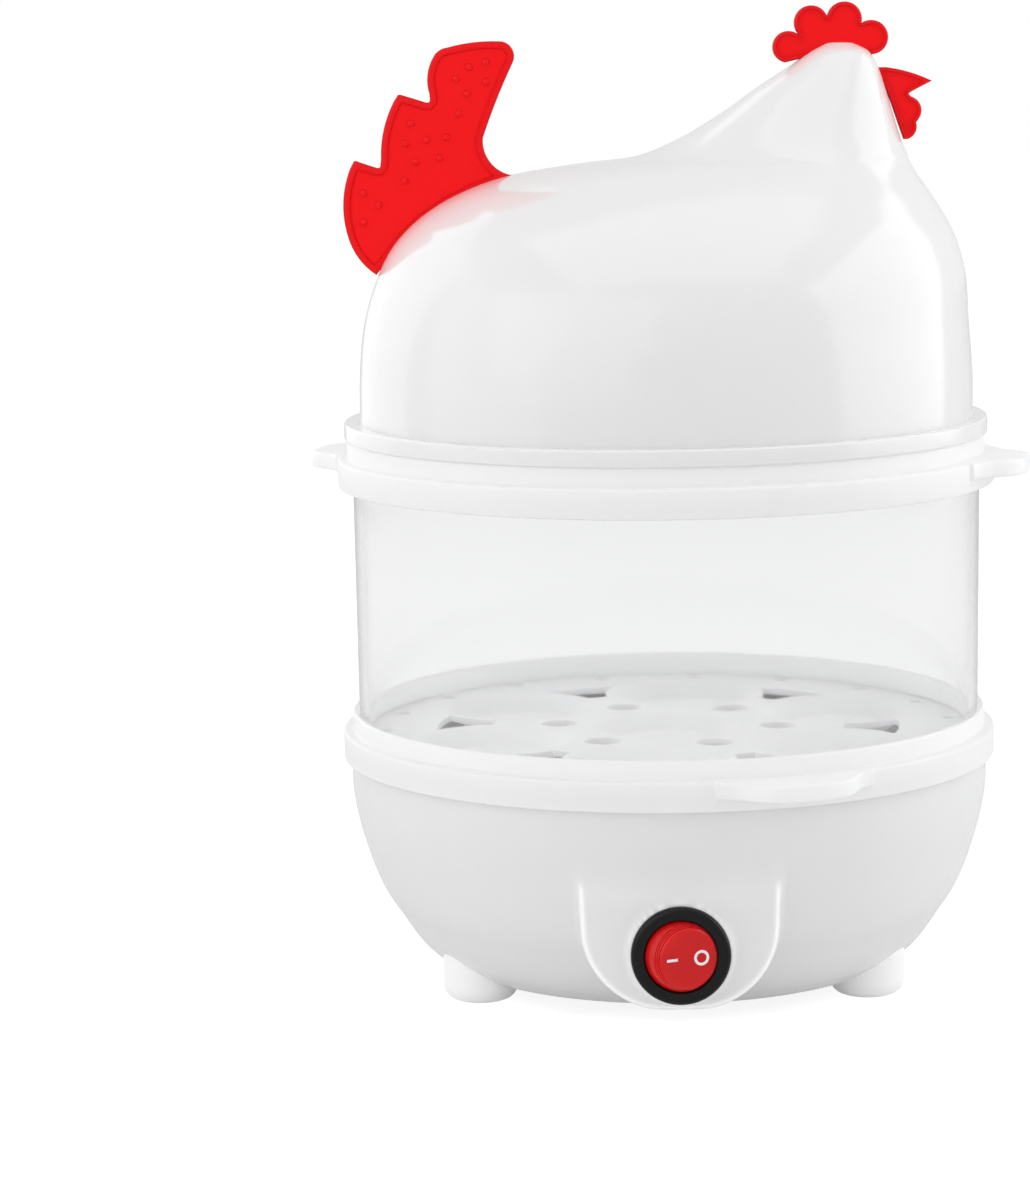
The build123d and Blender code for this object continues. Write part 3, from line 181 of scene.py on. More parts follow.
def bowl_profile():
    """Radius and height of the bowl's outside, from the belly down to its flat bottom."""
    knots = np.array([
        (rim_radius, 51.0), (75.2, 34.9), (68.6, 19.8), (58.6, 7.4), (bottom_radius, bottom_height)])
    leans = np.radians([0, 17, 36, 58, 90])
    points = []
    for (r0, z0), (r1, z1), a0, a1 in zip(knots[:-1], knots[1:], leans[:-1], leans[1:]):
        reach = math.hypot(r1 - r0, z1 - z0)
        d0 = np.array((-math.sin(a0), -math.cos(a0))) * reach
        d1 = np.array((-math.sin(a1), -math.cos(a1))) * reach
        for t in np.linspace(0, 1, 24, endpoint=False):
            points.append(curve_point(np.array((r0, z0)), d0, np.array((r1, z1)), d1, t))
    points.append(knots[-1])
    return np.array(points)


def round_union(a, b, radius):
    """Two distance fields joined with a hollow fillet."""
    corner = np.hypot(np.maximum(radius - a, 0), np.maximum(radius - b, 0))
    return np.maximum(radius, np.minimum(a, b)) - corner


def round_cut(a, b, radius):
    """Where two distance fields overlap, with its edge rounded over."""
    corner = np.hypot(np.maximum(radius + a, 0), np.maximum(radius + b, 0))
    return np.minimum(-radius, np.maximum(a, b)) + corner


bowl_curve = bowl_profile()
bowl_fan_angle = np.arctan2(ray_centre_height - bowl_curve[:, 1], bowl_curve[:, 0])
bowl_fan_reach = np.hypot(ray_centre_height - bowl_curve[:, 1], bowl_curve[:, 0])


def boss_outline_distance(x, z):
    """Distance from the U of the switch boss seen from the front, less than 0 inside it."""
    half = boss_half + (z - boss_foot) / boss_rise * boss_spread
    across = np.abs(x) - (half - boss_corner)
    down = boss_bend - z
    outside = np.hypot(np.maximum(across, 0), np.maximum(down, 0))
    return outside + np.minimum(np.maximum(across, down), 0) - boss_corner


def housing_field(x, y, z):
    """Distance, about, from the outside of the moulding: bowl, boss, switch seat, outlet pad."""
    ring = np.hypot(x, y)
    fall = np.arctan2(ray_centre_height - z, ring)
    reach = np.interp(fall, bowl_fan_angle, bowl_fan_reach)
    below = np.hypot(ring, ray_centre_height - z) - reach
    bowl = np.where(z > ray_centre_height - 1.0, ring - rim_radius, below)
    rise = np.clip((z - lean_from) / lean_over, 0, 1)
    boss_front = boss_reach - boss_lean * rise**2 * (3 - 2 * rise)
    boss = round_cut(np.maximum(boss_outline_distance(x, z), y), ring - boss_front, 1.5)
    body = round_union(bowl, boss, 1.7)
    seat = round_cut(np.hypot(x, z - switch_height) - seat_radius, -seat_front - y, 0.5)
    body = round_union(body, np.maximum(seat, y), 0.6)
    pad = round_cut(np.hypot(x, z - outlet_height) - outlet_radius, y - outlet_front, 0.8)
    return round_union(body, np.maximum(pad, -y), 1.6)


def even_angles(busy, step, fine):
    """Angles round the axis in degrees, closer together inside the busy stretches."""
    angles = [0.0]
    while angles[-1] < 360:
        here = angles[-1]
        close = any(abs((here - middle + 180) % 360 - 180) < spread for middle, spread in busy)
        angles.append(here + (fine if close else step))
    return np.radians(np.array(angles[:-1]) * 360 / angles[-1])


def strip_faces(rows, columns, loop_rows=False):
    """Quads between rows of points that each run once round the axis."""
    faces = []
    for i in range(rows if loop_rows else rows - 1):
        for j in range(columns):
            a, b = i * columns, (i + 1) % rows * columns
            k = (j + 1) % columns
            faces.append((a + j, a + k, b + k, b + j))
    return faces


def hold_flats(piece):
    """Shade by face area, so that flat walls stay flat beside their rounded edges."""
    hold = piece.modifiers.new("hold_flats", "WEIGHTED_NORMAL")
    hold.keep_sharp = True


def make_piece(name, points, faces, material, crease=32):
    """A piece from points in millimetres: doubles merged, faces outward, smooth up to a crease."""
    mesh = bpy.data.meshes.new(name)
    mesh.from_pydata([tuple(p) for p in np.asarray(points, float).reshape(-1, 3) / 1000], [], faces)
    build = bmesh.new()
    build.from_mesh(mesh)
    bmesh.ops.remove_doubles(build, verts=build.verts, dist=2e-6)
    bmesh.ops.dissolve_degenerate(build, edges=build.edges, dist=1e-6)
    bmesh.ops.recalc_face_normals(build, faces=build.faces)
    build.to_mesh(mesh)
    build.free()
    mesh.shade_smooth()
    mesh.set_sharp_from_angle(angle=math.radians(crease))
    mesh.materials.append(material)
    piece = add_object(name, mesh)
    hold_flats(piece)
    return piece


def ring_piece(name, rows, material, crease=32, loop_rows=False):
    """A piece from rings of points, each with as many points as the next."""
    return make_piece(name, rows, strip_faces(len(rows), len(rows[0]), loop_rows), material, crease)


def cut_away(piece, cutter, crease=32):
    """Cut one closed piece out of another and drop the cutter."""
    piece.modifiers.clear()
    cut = piece.modifiers.new("cut", "BOOLEAN")
    cut.operation = "DIFFERENCE"
    cut.solver = "EXACT"
    cut.object = cutter
    result = bpy.data.meshes.new_from_object(piece.evaluated_get(bpy.context.evaluated_depsgraph_get()))
    piece.modifiers.clear()
    piece.data = result
    result.set_sharp_from_angle(angle=math.radians(crease))
    bpy.data.objects.remove(cutter)
    hold_flats(piece)


def full_turn(count):
    """Even angles once round."""
    return np.linspace(0, math.tau, count + 1)[:-1]


def rod_points(centre, direction, radius, length, sides):
    """Two rings and two middle points of a round cutter, from its centre point along its way."""
    turn = Vector(direction).to_track_quat("Z", "Y").to_matrix()
    rings = []
    for reach, height in ((0, 0), (radius, 0), (radius, length), (0, length)):
        rings.append([Vector((reach * math.cos(t), reach * math.sin(t), height)) for t in full_turn(sides)])
    return np.array([[tuple(turn @ p + Vector(centre)) for p in ring] for ring in rings])


def noise(tree, place, **values):
    """A noise pattern over a place socket."""
    pattern = add(tree, "TexNoise", **values)
    link(tree, place, pattern.inputs["Vector"])
    return pattern.outputs["Fac"]


def tint_between(tree, marks, first, second, shader):
    """Let the colour wander between two near tints along a pattern."""
    tint = tree.nodes.new("ShaderNodeMix")
    tint.data_type = "RGBA"
    tint.inputs["A"].default_value = (*first, 1)
    tint.inputs["B"].default_value = (*second, 1)
    link(tree, marks, tint.inputs["Factor"])
    link(tree, tint.outputs["Result"], shader.inputs["Base Color"])
    return tint.outputs["Result"]


def gloss_between(tree, marks, low, high, shader):
    """Let the roughness wander between two levels along a pattern."""
    gloss = add(tree, "MapRange", To_Min=low, To_Max=high)
    link(tree, marks, gloss.inputs["Value"])
    link(tree, gloss.outputs["Result"], shader.inputs["Roughness"])


def fine_skin(tree, marks, strength, distance, shader):
    """A fine relief from a pattern."""
    skin = add(tree, "Bump", Strength=strength, Distance=distance)
    link(tree, marks, skin.inputs["Height"])
    link(tree, skin.outputs["Normal"], shader.inputs["Normal"])


def shaded_material(name, **values):
    """A material of one main shader with its sockets set, and its place on the object."""
    material, tree, output = blank_material(name)
    shader = add(tree, "BsdfPrincipled", **values)
    link(tree, shader.outputs["BSDF"], output.inputs["Surface"])
    return material, tree, shader, add(tree, "TexCoord").outputs["Object"]


def moulded_plastic(name, colour, roughness, depth=0.0, grain=0.02, shine=0.5, painted_glow=0.0):
    """Injection-moulded plastic: faint flow marks in its colour and gloss, fine ripple, some depth, and where
    asked a painted glow in its own colour.
    """
    material, tree, shader, place = shaded_material(
        name, IOR=1.49, Specular_IOR_Level=shine, Subsurface_Weight=depth,
        Subsurface_Radius=(1.0, 0.95, 0.9), Subsurface_Scale=0.004)
    flow = noise(tree, place, Scale=22.0, Detail=3.0, Distortion=0.8)
    paler = [min(1.0, c * 1.012) for c in colour]
    tint = tint_between(tree, flow, [c * 0.975 for c in colour], paler, shader)
    gloss_between(tree, flow, roughness * 0.85, roughness * 1.2, shader)
    fine_skin(tree, noise(tree, place, Scale=240.0, Detail=4.0), grain, 0.001, shader)
    if painted_glow:
        link(tree, tint, shader.inputs["Emission Color"])
        shader.inputs["Emission Strength"].default_value = painted_glow
    return material


def principled(material):
    """The main shader of a material."""
    return next(node for node in material.node_tree.nodes if node.type == "BSDF_PRINCIPLED")


def attribute_level(tree, name, operation, amount, target):
    """Feed a socket from an attribute of the mesh, times or plus a number."""
    marks = add(tree, "Attribute")
    marks.attribute_name = name
    level = add(tree, "Math")
    level.operation = operation
    level.inputs[1].default_value = amount
    link(tree, marks.outputs["Fac"], level.inputs[0])
    link(tree, level.outputs[0], target)


def set_attribute(mesh, name, values):
    """Keep one number for each vertex in the mesh."""
    mesh.attributes.new(name, "FLOAT", "POINT").data.foreach_set("value", values.astype(np.float32))


def vertex_places(mesh):
    """Places of a mesh's vertices in millimetres."""
    return np.array([tuple(v.co) for v in mesh.vertices]) * 1000


bowl_plastic = moulded_plastic("bowl_plastic", (0.88, 0.88, 0.885), 0.2, depth=0.15)
bowl_shader = principled(bowl_plastic)
# Thin white emission where the mesh marks it: a painted highlight along the boss's edge and round the switch
# seat.
attribute_level(bowl_plastic.node_tree, "painted_line_highlight", "MULTIPLY", 0.2, bowl_shader.inputs["Emission Strength"])
bowl_shader.inputs["Emission Color"].default_value = (1, 1, 1, 1)
housing_angles = even_angles([(270, 25), (90, 8)], 2.6, 0.32)
columns = len(housing_angles)
out_x, out_y = np.cos(housing_angles), np.sin(housing_angles)
housing_rows = []
for height in (rim_height - 0.4, 58.0, 56.0, 54.5, 53.0):
    housing_rows.append((height, 0.0))
for fall in np.concatenate([
    np.arange(0, 20, 0.8), np.arange(20, 32.5, 0.3), np.arange(32.5, 42.2, 0.6), [42.58],
]):
    housing_rows.append((ray_centre_height, math.radians(fall)))
start_height = np.array([row[0] for row in housing_rows])[:, None]
row_fall = np.array([row[1] for row in housing_rows])[:, None]
reaches = np.linspace(50, 100, 120)


def on_rays(reach):
    """Points of all rays at a reach from their starts."""
    x = reach * np.cos(row_fall) * out_x
    y = reach * np.cos(row_fall) * out_y
    return x, y, start_height - reach * np.sin(row_fall) + 0 * x


crossing = np.full((len(housing_rows), columns), reaches[0])
for reach in reaches:
    crossing = np.where(housing_field(*on_rays(reach)) < 0, reach, crossing)
low, high = crossing.copy(), crossing + (reaches[1] - reaches[0])
for _ in range(18):
    middle = (low + high) / 2
    inside = housing_field(*on_rays(middle)) < 0
    low, high = np.where(inside, middle, low), np.where(inside, high, middle)
outside_skin = np.stack(on_rays(low), axis=2)


def ring_rows(profile, angles=housing_angles):
    """Level rings of points for radius and height pairs."""
    return np.array([[(r * math.cos(a), r * math.sin(a), h) for a in angles] for r, h in profile])


inside_curve = []
for (r0, z0), (r1, z1) in zip(bowl_curve[:-1:6], bowl_curve[1::6]):
    lean = Vector((r1 - r0, z1 - z0)).normalized()
    inside_curve.append((r0 + lean[1] * bowl_wall, z0 - lean[0] * bowl_wall))
inside_rows = ring_rows(
    [(44.6, 4.2), (44.6, 6.2), (36.5, 6.2), (36.5, 8.6), (48.0, 8.6), (48.0, 6.6), (50.5, 6.6)]
    + inside_curve[::-1] + [(75.7, 59.8), (76.1, 60.2), (77.7, 60.2)])
housing_points = np.concatenate([outside_skin, inside_rows])
housing = ring_piece("bowl_moulding", housing_points, bowl_plastic, 40, loop_rows=True)
for middle, way, radius, length in (
    ((0, -90, switch_height), (0, 1, 0), 10.1, 40),
    ((0, 90, outlet_height), (0, -1, 0), 4.6, 40),
    *(((x, y, -5), (0, 0, 1), 3.2, 20) for x, y in ((50, 0), (-25, 43.3), (-25, -43.3))),
):
    rod = rod_points(middle, way, radius, length, 64)
    cut_away(housing, ring_piece("cutter", rod, bowl_plastic), 40)
# Painted highlight: a thin bright line just inside the boss's U edge, fading out at its top, and a ring round
# the switch seat, on the front of the shell only.
line_inset, line_half, line_top, line_fade = 0.75, 0.55, 39.0, 2.5
seat_line, seat_line_half, shell_reach = 11.8, 0.4, 70.0
spots = vertex_places(housing.data)
away = boss_outline_distance(spots[:, 0], spots[:, 2])
highlight_share = np.exp(-((away + line_inset) / line_half) ** 2)
highlight_share = highlight_share * np.clip((line_top - spots[:, 2]) / line_fade, 0, 1)
round_seat = np.hypot(spots[:, 0], spots[:, 2] - switch_height)
highlight_share = np.maximum(highlight_share, np.exp(-((round_seat - seat_line) / seat_line_half) ** 2))
highlight_share = highlight_share * (np.hypot(spots[:, 0], spots[:, 1]) > shell_reach) * (spots[:, 1] < 0)
set_attribute(housing.data, "painted_line_highlight", highlight_share)
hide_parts("base_housing")
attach(housing, "base")

# Feet: three soft white pads pressed up against the bowl's underside. Their tops follow the
# bowl, and their lower edges are well rounded.
foot_radius, foot_pitch, foot_press = 9.0, 54.0, 0.15
# The pads glow a little in their own colour: painted light that lifts them out of the shade under the bowl.
pad_rubber = moulded_plastic("pad_rubber", (0.93, 0.93, 0.93), 0.55, grain=0.08, painted_glow=0.13)
underside = bowl_curve[::-1]
sides = full_turn(64)
for number, turn in enumerate(np.radians((-30, 90, 210)), start=1):
    centre = Vector((foot_pitch * math.cos(turn), foot_pitch * math.sin(turn)))
    rings = []
    for ring_radius, ring_height in (
        (0, 0), (3.0, 0), (5.6, 0), (6.4, 0.08), (7.4, 0.5), (8.2, 1.2), (8.75, 2.1),
        (foot_radius, 3.2), (foot_radius, 3.9),
        (foot_radius, None), (6.0, None), (3.0, None), (0.0, None),
    ):
        ring = []
        for t in sides:
            px, py = centre.x + ring_radius * math.cos(t), centre.y + ring_radius * math.sin(t)
            top = np.interp(math.hypot(px, py), underside[:, 0], underside[:, 1], left=bottom_height)
            ring.append((px, py, top + foot_press if ring_height is None else ring_height))
        rings.append(ring)
    foot = ring_piece(f"foot_pad_{number}", rings, pad_rubber, 50)
    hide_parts(f"foot_{number}")
    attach(foot, "base")


# Bottom cover: a flat disc of grained plastic with a ring of vent slots, let into the bowl's
# underside. It stays as drawn in the CAD.
def dress(node, material):
    """Give a CAD node its finish."""
    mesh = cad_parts[node].data
    mesh.materials.clear()
    mesh.materials.append(material)


cover_plastic = moulded_plastic("cover_plastic", (0.74, 0.74, 0.74), 0.5, grain=0.25)
dress("bottom_cover", cover_plastic)
dress("cord_clamp", cover_plastic)


# Screws, nuts and springs: zinc-plated steel, bright with a slightly streaked plating. The
# screws are pan heads with a cross recess.
def metal(name, colour, roughness, streak_scale, streak=(1, 1, 1), stain=None):
    """Metal with fine streaks in its gloss and an optional second tint in patches."""
    material, tree, shader, place = shaded_material(name, Metallic=1.0)
    stretch = add(tree, "Mapping", Scale=streak)
    link(tree, place, stretch.inputs["Vector"])
    lines = noise(tree, stretch.outputs["Vector"], Scale=streak_scale, Detail=5.0)
    gloss_between(tree, lines, roughness * 0.7, roughness * 1.4, shader)
    tint_between(tree, noise(tree, place, Scale=45.0), colour, stain or [c * 0.86 for c in colour], shader)
    fine_skin(tree, lines, 0.06, 0.0004, shader)
    return material


zinc = metal("zinc_plating", (0.62, 0.63, 0.64), 0.3, 700.0)
for node in (
    "cover_screws", "plate_screws", "thermostat_screws", "clamp_screws", "weld_nuts", "plunger_spring",
):
    dress(node, zinc)

# Water dish: stainless steel pressed into a flat-floored well with a narrow flange, its floor
# left with the fine rings of the spinning tool.
dish_floor, flange_bottom, dish_steel = 46.0, 55.2, 0.8


def spun_steel():
    """Stainless steel with fine rings about the dish's axis."""
    material, tree, shader, place = shaded_material("spun_steel", Metallic=1.0)
    rings = add(tree, "TexWave", Scale=260.0, Distortion=1.2, Detail=3.0, Detail_Scale=3.0)
    rings.wave_type = "RINGS"
    rings.rings_direction = "Z"
    link(tree, place, rings.inputs["Vector"])
    gloss_between(tree, rings.outputs["Fac"], 0.18, 0.34, shader)
    clouds = noise(tree, place, Scale=30.0, Detail=4.0)
    tint_between(tree, clouds, (0.66, 0.66, 0.67), (0.56, 0.56, 0.56), shader)
    fine_skin(tree, rings.outputs["Fac"], 0.1, 0.0003, shader)
    return material


def arc(centre, radius, first, last, steps):
    """Points of an arc as radius and height pairs, angles in degrees from outward."""
    return [
        (centre[0] + radius * math.cos(a), centre[1] + radius * math.sin(a))
        for a in (math.radians(a) for a in np.linspace(first, last, steps))
    ]


dish_line = (
    [(r, dish_floor) for r in (0, 20, 40, 58)]
    + arc((61.3, dish_floor + 4.0), 4.0, -90, -15, 8) + arc((69.5, flange_bottom - 2.0), 2.0, 165, 90, 7)
    + [(72.0, flange_bottom), (74.3, flange_bottom)]
)
dish_profile = dish_line + arc((74.2, flange_bottom + 0.4), 0.4, -90, 90, 7) + [
    (r - (dish_steel if 60 < r < 68 else 0), h + (dish_steel if r < 60 or r >= 68 else 0.5))
    for r, h in dish_line[::-1]]
dish = ring_piece("water_dish", ring_rows(dish_profile, full_turn(160)), spun_steel())
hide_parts("heating_plate")
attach(dish, "base")
dress("plate_seal", moulded_plastic("seal_silicone", (0.72, 0.73, 0.73), 0.45, depth=0.2, grain=0.05))

# Heater under the dish: a bent steel tube cast into an aluminium plate, with ceramic beads at its
# ends, and a snap thermostat held against the dish by a strap.
dress("heater_element", metal("heated_tube", (0.36, 0.33, 0.31), 0.4, 500.0, stain=(0.42, 0.30, 0.22)))
dress("element_pins", metal("terminal_pin", (0.60, 0.58, 0.55), 0.3, 600.0))
dress("element_beads", moulded_plastic("bead_ceramic", (0.80, 0.76, 0.68), 0.6, grain=0.2))
dress("heat_spreader", metal("cast_aluminium", (0.62, 0.63, 0.64), 0.5, 260.0))
dress("thermostat", moulded_plastic("phenolic_moulding", (0.045, 0.035, 0.03), 0.4, grain=0.1))
dress("thermostat_bracket", metal("strap_steel", (0.60, 0.60, 0.60), 0.28, 500.0, (1, 8, 1)))
brass = metal("stamped_brass", (0.78, 0.58, 0.26), 0.26, 600.0, stain=(0.66, 0.46, 0.20))
for node in (
    "thermostat_blades", "lamp_terminal", "supply_terminal", "load_terminal", "contact_bridge",
    "switch_receptacles", "thermostat_receptacles", "element_receptacles",
):
    dress(node, brass)

# Switch: a black snap-in body whose polished bezel lies on the boss, and a clear red rocker that
# turns in a round seat.
bezel_front, hinge_depth, cavity_radius = 79.9, 3.0, 8.7
rocker_radius, rocker_face, rocker_tilt = 8.6, 5.2, 20.0
hinge = Vector((0, -bezel_front + hinge_depth, switch_height))
opening = math.sqrt(cavity_radius**2 - hinge_depth**2)
turned_sides = 144


def turned_rows(profile, centre, tilt=0.0):
    """Rings for radius and height pairs about an axis that looks towards -Y, tilted about +Z."""
    rows = []
    c, s = math.cos(math.radians(tilt)), math.sin(math.radians(tilt))
    for radius, ahead_by in profile:
        row = []
        for t in full_turn(turned_sides):
            u, w = radius * math.cos(t), radius * math.sin(t)
            row.append((centre[0] + u * c + ahead_by * s, centre[1] + u * s - ahead_by * c, centre[2] + w))
        rows.append(row)
    return rows


bezel_edge = math.degrees(math.acos(hinge_depth / cavity_radius))
bezel_back, body_back = hinge_depth - 2.0, hinge_depth - 14.9
body_profile = (
    [(0, body_back), (9.95, body_back), (9.95, bezel_back)]
    + [(11.2, bezel_back), (11.5, bezel_back + 0.25)]
    + arc((10.2, hinge_depth - 1.3), 1.3, 0, 90, 9)
    + arc((opening + 0.6, hinge_depth - 0.25), 0.25, 90, 180, 4)
    + [(cavity_radius * math.sin(a), cavity_radius * math.cos(a))
       for a in (math.radians(a) for a in np.linspace(bezel_edge + 3, 90, 14))]
    + [(cavity_radius, body_back + 1.9), (0, body_back + 1.9)]
)
switch_plastic = moulded_plastic("switch_black", (0.006, 0.006, 0.007), 0.24, grain=0.03, shine=0.22)
switch_body = ring_piece("switch_housing", turned_rows(body_profile, hinge), switch_plastic, 30)
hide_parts("switch_body")
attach(switch_body, "base")


def red_rocker_plastic():
    """Clear red plastic, deep in colour, with light coming back out of it."""
    material, tree, shader, place = shaded_material(
        "rocker_red", Roughness=0.16, IOR=1.5, Specular_IOR_Level=0.32, Subsurface_Weight=0.5,
        Subsurface_Radius=(1.0, 0.06, 0.05), Subsurface_Scale=0.003)
    cloud = noise(tree, place, Scale=180.0, Detail=3.0)
    tint_between(tree, cloud, (0.60, 0.004, 0.006), (0.78, 0.008, 0.008), shader)
    return material


face_edge = math.sqrt(rocker_radius**2 - rocker_face**2)
hollow, hollow_share, face_round, groove_depth = 0.3, 0.93, 0.22, 0.22
rocker_profile = [
    (face_edge * hollow_share * k, rocker_face - hollow * (1 - k**2)) for k in np.linspace(0, 1, 8)]
rocker_profile += arc((face_edge - face_round, rocker_face - face_round), face_round, 88, 40, 5)
wall_angles = np.linspace(math.degrees(math.asin((face_edge + 0.05) / rocker_radius)) + 1.2, 96, 60)
for number, a in enumerate(math.radians(a) for a in wall_angles):
    wall = rocker_radius - (groove_depth if number < 18 and number % 6 in (3, 4) else 0.0)
    rocker_profile.append((wall * math.sin(a), wall * math.cos(a)))
rocker_profile += [(7.2, -0.8), (6.9, 1.6), (5.4, rocker_face - 1.6), (0, rocker_face - 1.6)]
rocker_rows = turned_rows(rocker_profile, hinge, rocker_tilt)
rocker = ring_piece("red_rocker", rocker_rows, red_rocker_plastic(), 30)
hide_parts("rocker")
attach(rocker, "rocker")
mark_points, mark_faces = [], []
on_place, off_place, mark_line, ring_radius, bar_half = -4.1, 3.1, 0.62, 1.8, 1.35
print_low, print_high = -0.15, 0.03


def on_face(u, w, lift):
    """A point of the rocker's hollow face at u across and w up, lifted off it."""
    c, s = math.cos(math.radians(rocker_tilt)), math.sin(math.radians(rocker_tilt))
    sink = hollow * (1 - (math.hypot(u, w) / (face_edge * hollow_share)) ** 2)
    ahead_by = rocker_face - sink + lift
    return (hinge.x + u * c + ahead_by * s, hinge.y + u * s - ahead_by * c, hinge.z + w)


for radius, lift in (
    (ring_radius - mark_line, print_low), (ring_radius - mark_line, print_high),
    (ring_radius, print_high), (ring_radius, print_low),
):
    for t in full_turn(64):
        mark_points.append(on_face(off_place + radius * math.cos(t), radius * math.sin(t), lift))
mark_faces += strip_faces(4, 64, True)
first, bar_steps = len(mark_points), 9
for lift in (print_low, print_high):
    for u in np.linspace(on_place - bar_half, on_place + bar_half, bar_steps):
        for w in (-mark_line / 2, mark_line / 2):
            mark_points.append(on_face(u, w, lift))
up = 2 * bar_steps
for a in range(first, first + up - 2, 2):
    b = a + 2
    mark_faces += [
        (a, b, b + 1, a + 1), (a + up, a + up + 1, b + up + 1, b + up),
        (a, a + up, b + up, b), (a + 1, b + 1, b + up + 1, a + up + 1)]
last = first + up - 2
mark_faces += [(first, first + 1, first + up + 1, first + up), (last, last + up, last + up + 1, last + 1)]
mark_white = moulded_plastic("mark_white", (0.92, 0.92, 0.92), 0.45, grain=0.05)
marks = make_piece("rocker_print", mark_points, mark_faces, mark_white)
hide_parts("rocker_marks")
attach(marks, "rocker")
dress("rocker_plunger", moulded_plastic("plunger_moulding", (0.80, 0.80, 0.76), 0.35))

# Neon lamp, its resistor and the wiring inside the base: glass, lacquered ceramic and silicone
# insulation, joined by crimped caps. A thermal fuse lies in a woven sleeve.
dress("neon_lamp", shaded_material(
    "lamp_glass", Base_Color=(0.95, 0.82, 0.72, 1), Roughness=0.05, Transmission_Weight=0.9)[0])
dress("lamp_resistor", moulded_plastic("resistor_lacquer", (0.58, 0.42, 0.24), 0.4, grain=0.1))
dress("wire_splices", moulded_plastic("splice_cap", (0.76, 0.76, 0.74), 0.45, grain=0.05))
wire_brown = moulded_plastic("wire_brown", (0.14, 0.055, 0.03), 0.5, grain=0.1)
wire_blue = moulded_plastic("wire_blue", (0.03, 0.10, 0.42), 0.5, grain=0.1)
for node in ("supply_wire", "load_wire", "fuse_lead_in", "fuse_lead_out"):
    dress(node, wire_brown)
for node in ("lamp_wire", "neutral_wire"):
    dress(node, wire_blue)
dress("thermal_fuse", metal("fuse_can", (0.70, 0.68, 0.62), 0.3, 500.0))
dress("fuse_sleeve", moulded_plastic("glass_sleeving", (0.80, 0.80, 0.77), 0.75, grain=0.4))
dress("cord_grommet", moulded_plastic("grommet_rubber", (0.78, 0.78, 0.78), 0.6, grain=0.15))

# Egg trays: two alike mouldings in frosted, slightly see-through plastic. Each has a skirt that
# drops over the rim below, a collar above, two lifting ears, and a plate with seven egg seats.
skirt_inner, skirt_radius, skirt_drop, skirt_rise = 78.5, 80.0, 4.7, 2.3
plate_thick, collar_inner, collar_radius, ear_under = 1.6, 76.35, 77.6, 1.1
seat_pitch, seat_wide, seat_flat, seat_depth, seat_turn = 46.0, 18.9, 12.6, 3.6, 22.7
hole_radius, hole_pitch, drain_radius, drain_pitch, drain_count = 4.5, 27.0, 2.2, 70.3, 18
wedge_gap, wedge_inner, wedge_outer, cut_half = 20.5, 43.0, 57.0, 8


def frosted_plastic():
    """Frosted polypropylene that lets some light through, and glows faintly in its own tint all over: painted
    light, stronger on the plate and the collar's inner face.
    """
    material, tree, output = blank_material("tray_frosted")
    shader = add(
        tree, "BsdfPrincipled", IOR=1.49, Subsurface_Weight=0.35, Subsurface_Radius=(1.0, 1.0, 1.0),
        Subsurface_Scale=0.006)
    place = add(tree, "TexCoord").outputs["Object"]
    flow = noise(tree, place, Scale=26.0, Detail=3.0)
    tint = tint_between(tree, flow, (0.95, 0.95, 0.955), (0.98, 0.98, 0.985), shader)
    gloss_between(tree, flow, 0.30, 0.42, shader)
    fine_skin(tree, noise(tree, place, Scale=1400.0, Detail=2.0), 0.05, 0.0003, shader)
    # A faint glow in the tray's own tint everywhere, more where the mesh marks it: painted light.
    link(tree, tint, shader.inputs["Emission Color"])
    attribute_level(tree, "painted_tray_glow", "ADD", 0.085, shader.inputs["Emission Strength"])
    through = add(tree, "BsdfTranslucent")
    link(tree, tint, through.inputs["Color"])
    mix = add(tree, "MixShader")
    mix.inputs[0].default_value = 0.18
    link(tree, shader.outputs["BSDF"], mix.inputs[1])
    link(tree, through.outputs[0], mix.inputs[2])
    link(tree, mix.outputs[0], output.inputs["Surface"])
    return material


def ear_reach(angles, middle):
    """Outer radius of the ledge: the skirt, and beyond it the two ears opposite each other."""
    off = np.abs((np.degrees(angles) - middle + 90) % 180 - 90)
    turns, radii = zip(
        (0, 89.0), (2.3, 88.9), (4.54, 88.45), (6.2, 87.5), (7.6, 86.2), (8.7, 84.6), (9.87, 82.9),
        (11.4, 81.6), (12.8, 81.0), (14.15, 80.8), (14.25, skirt_radius), (90, skirt_radius))
    return np.interp(off, turns, radii)


frosted = frosted_plastic()


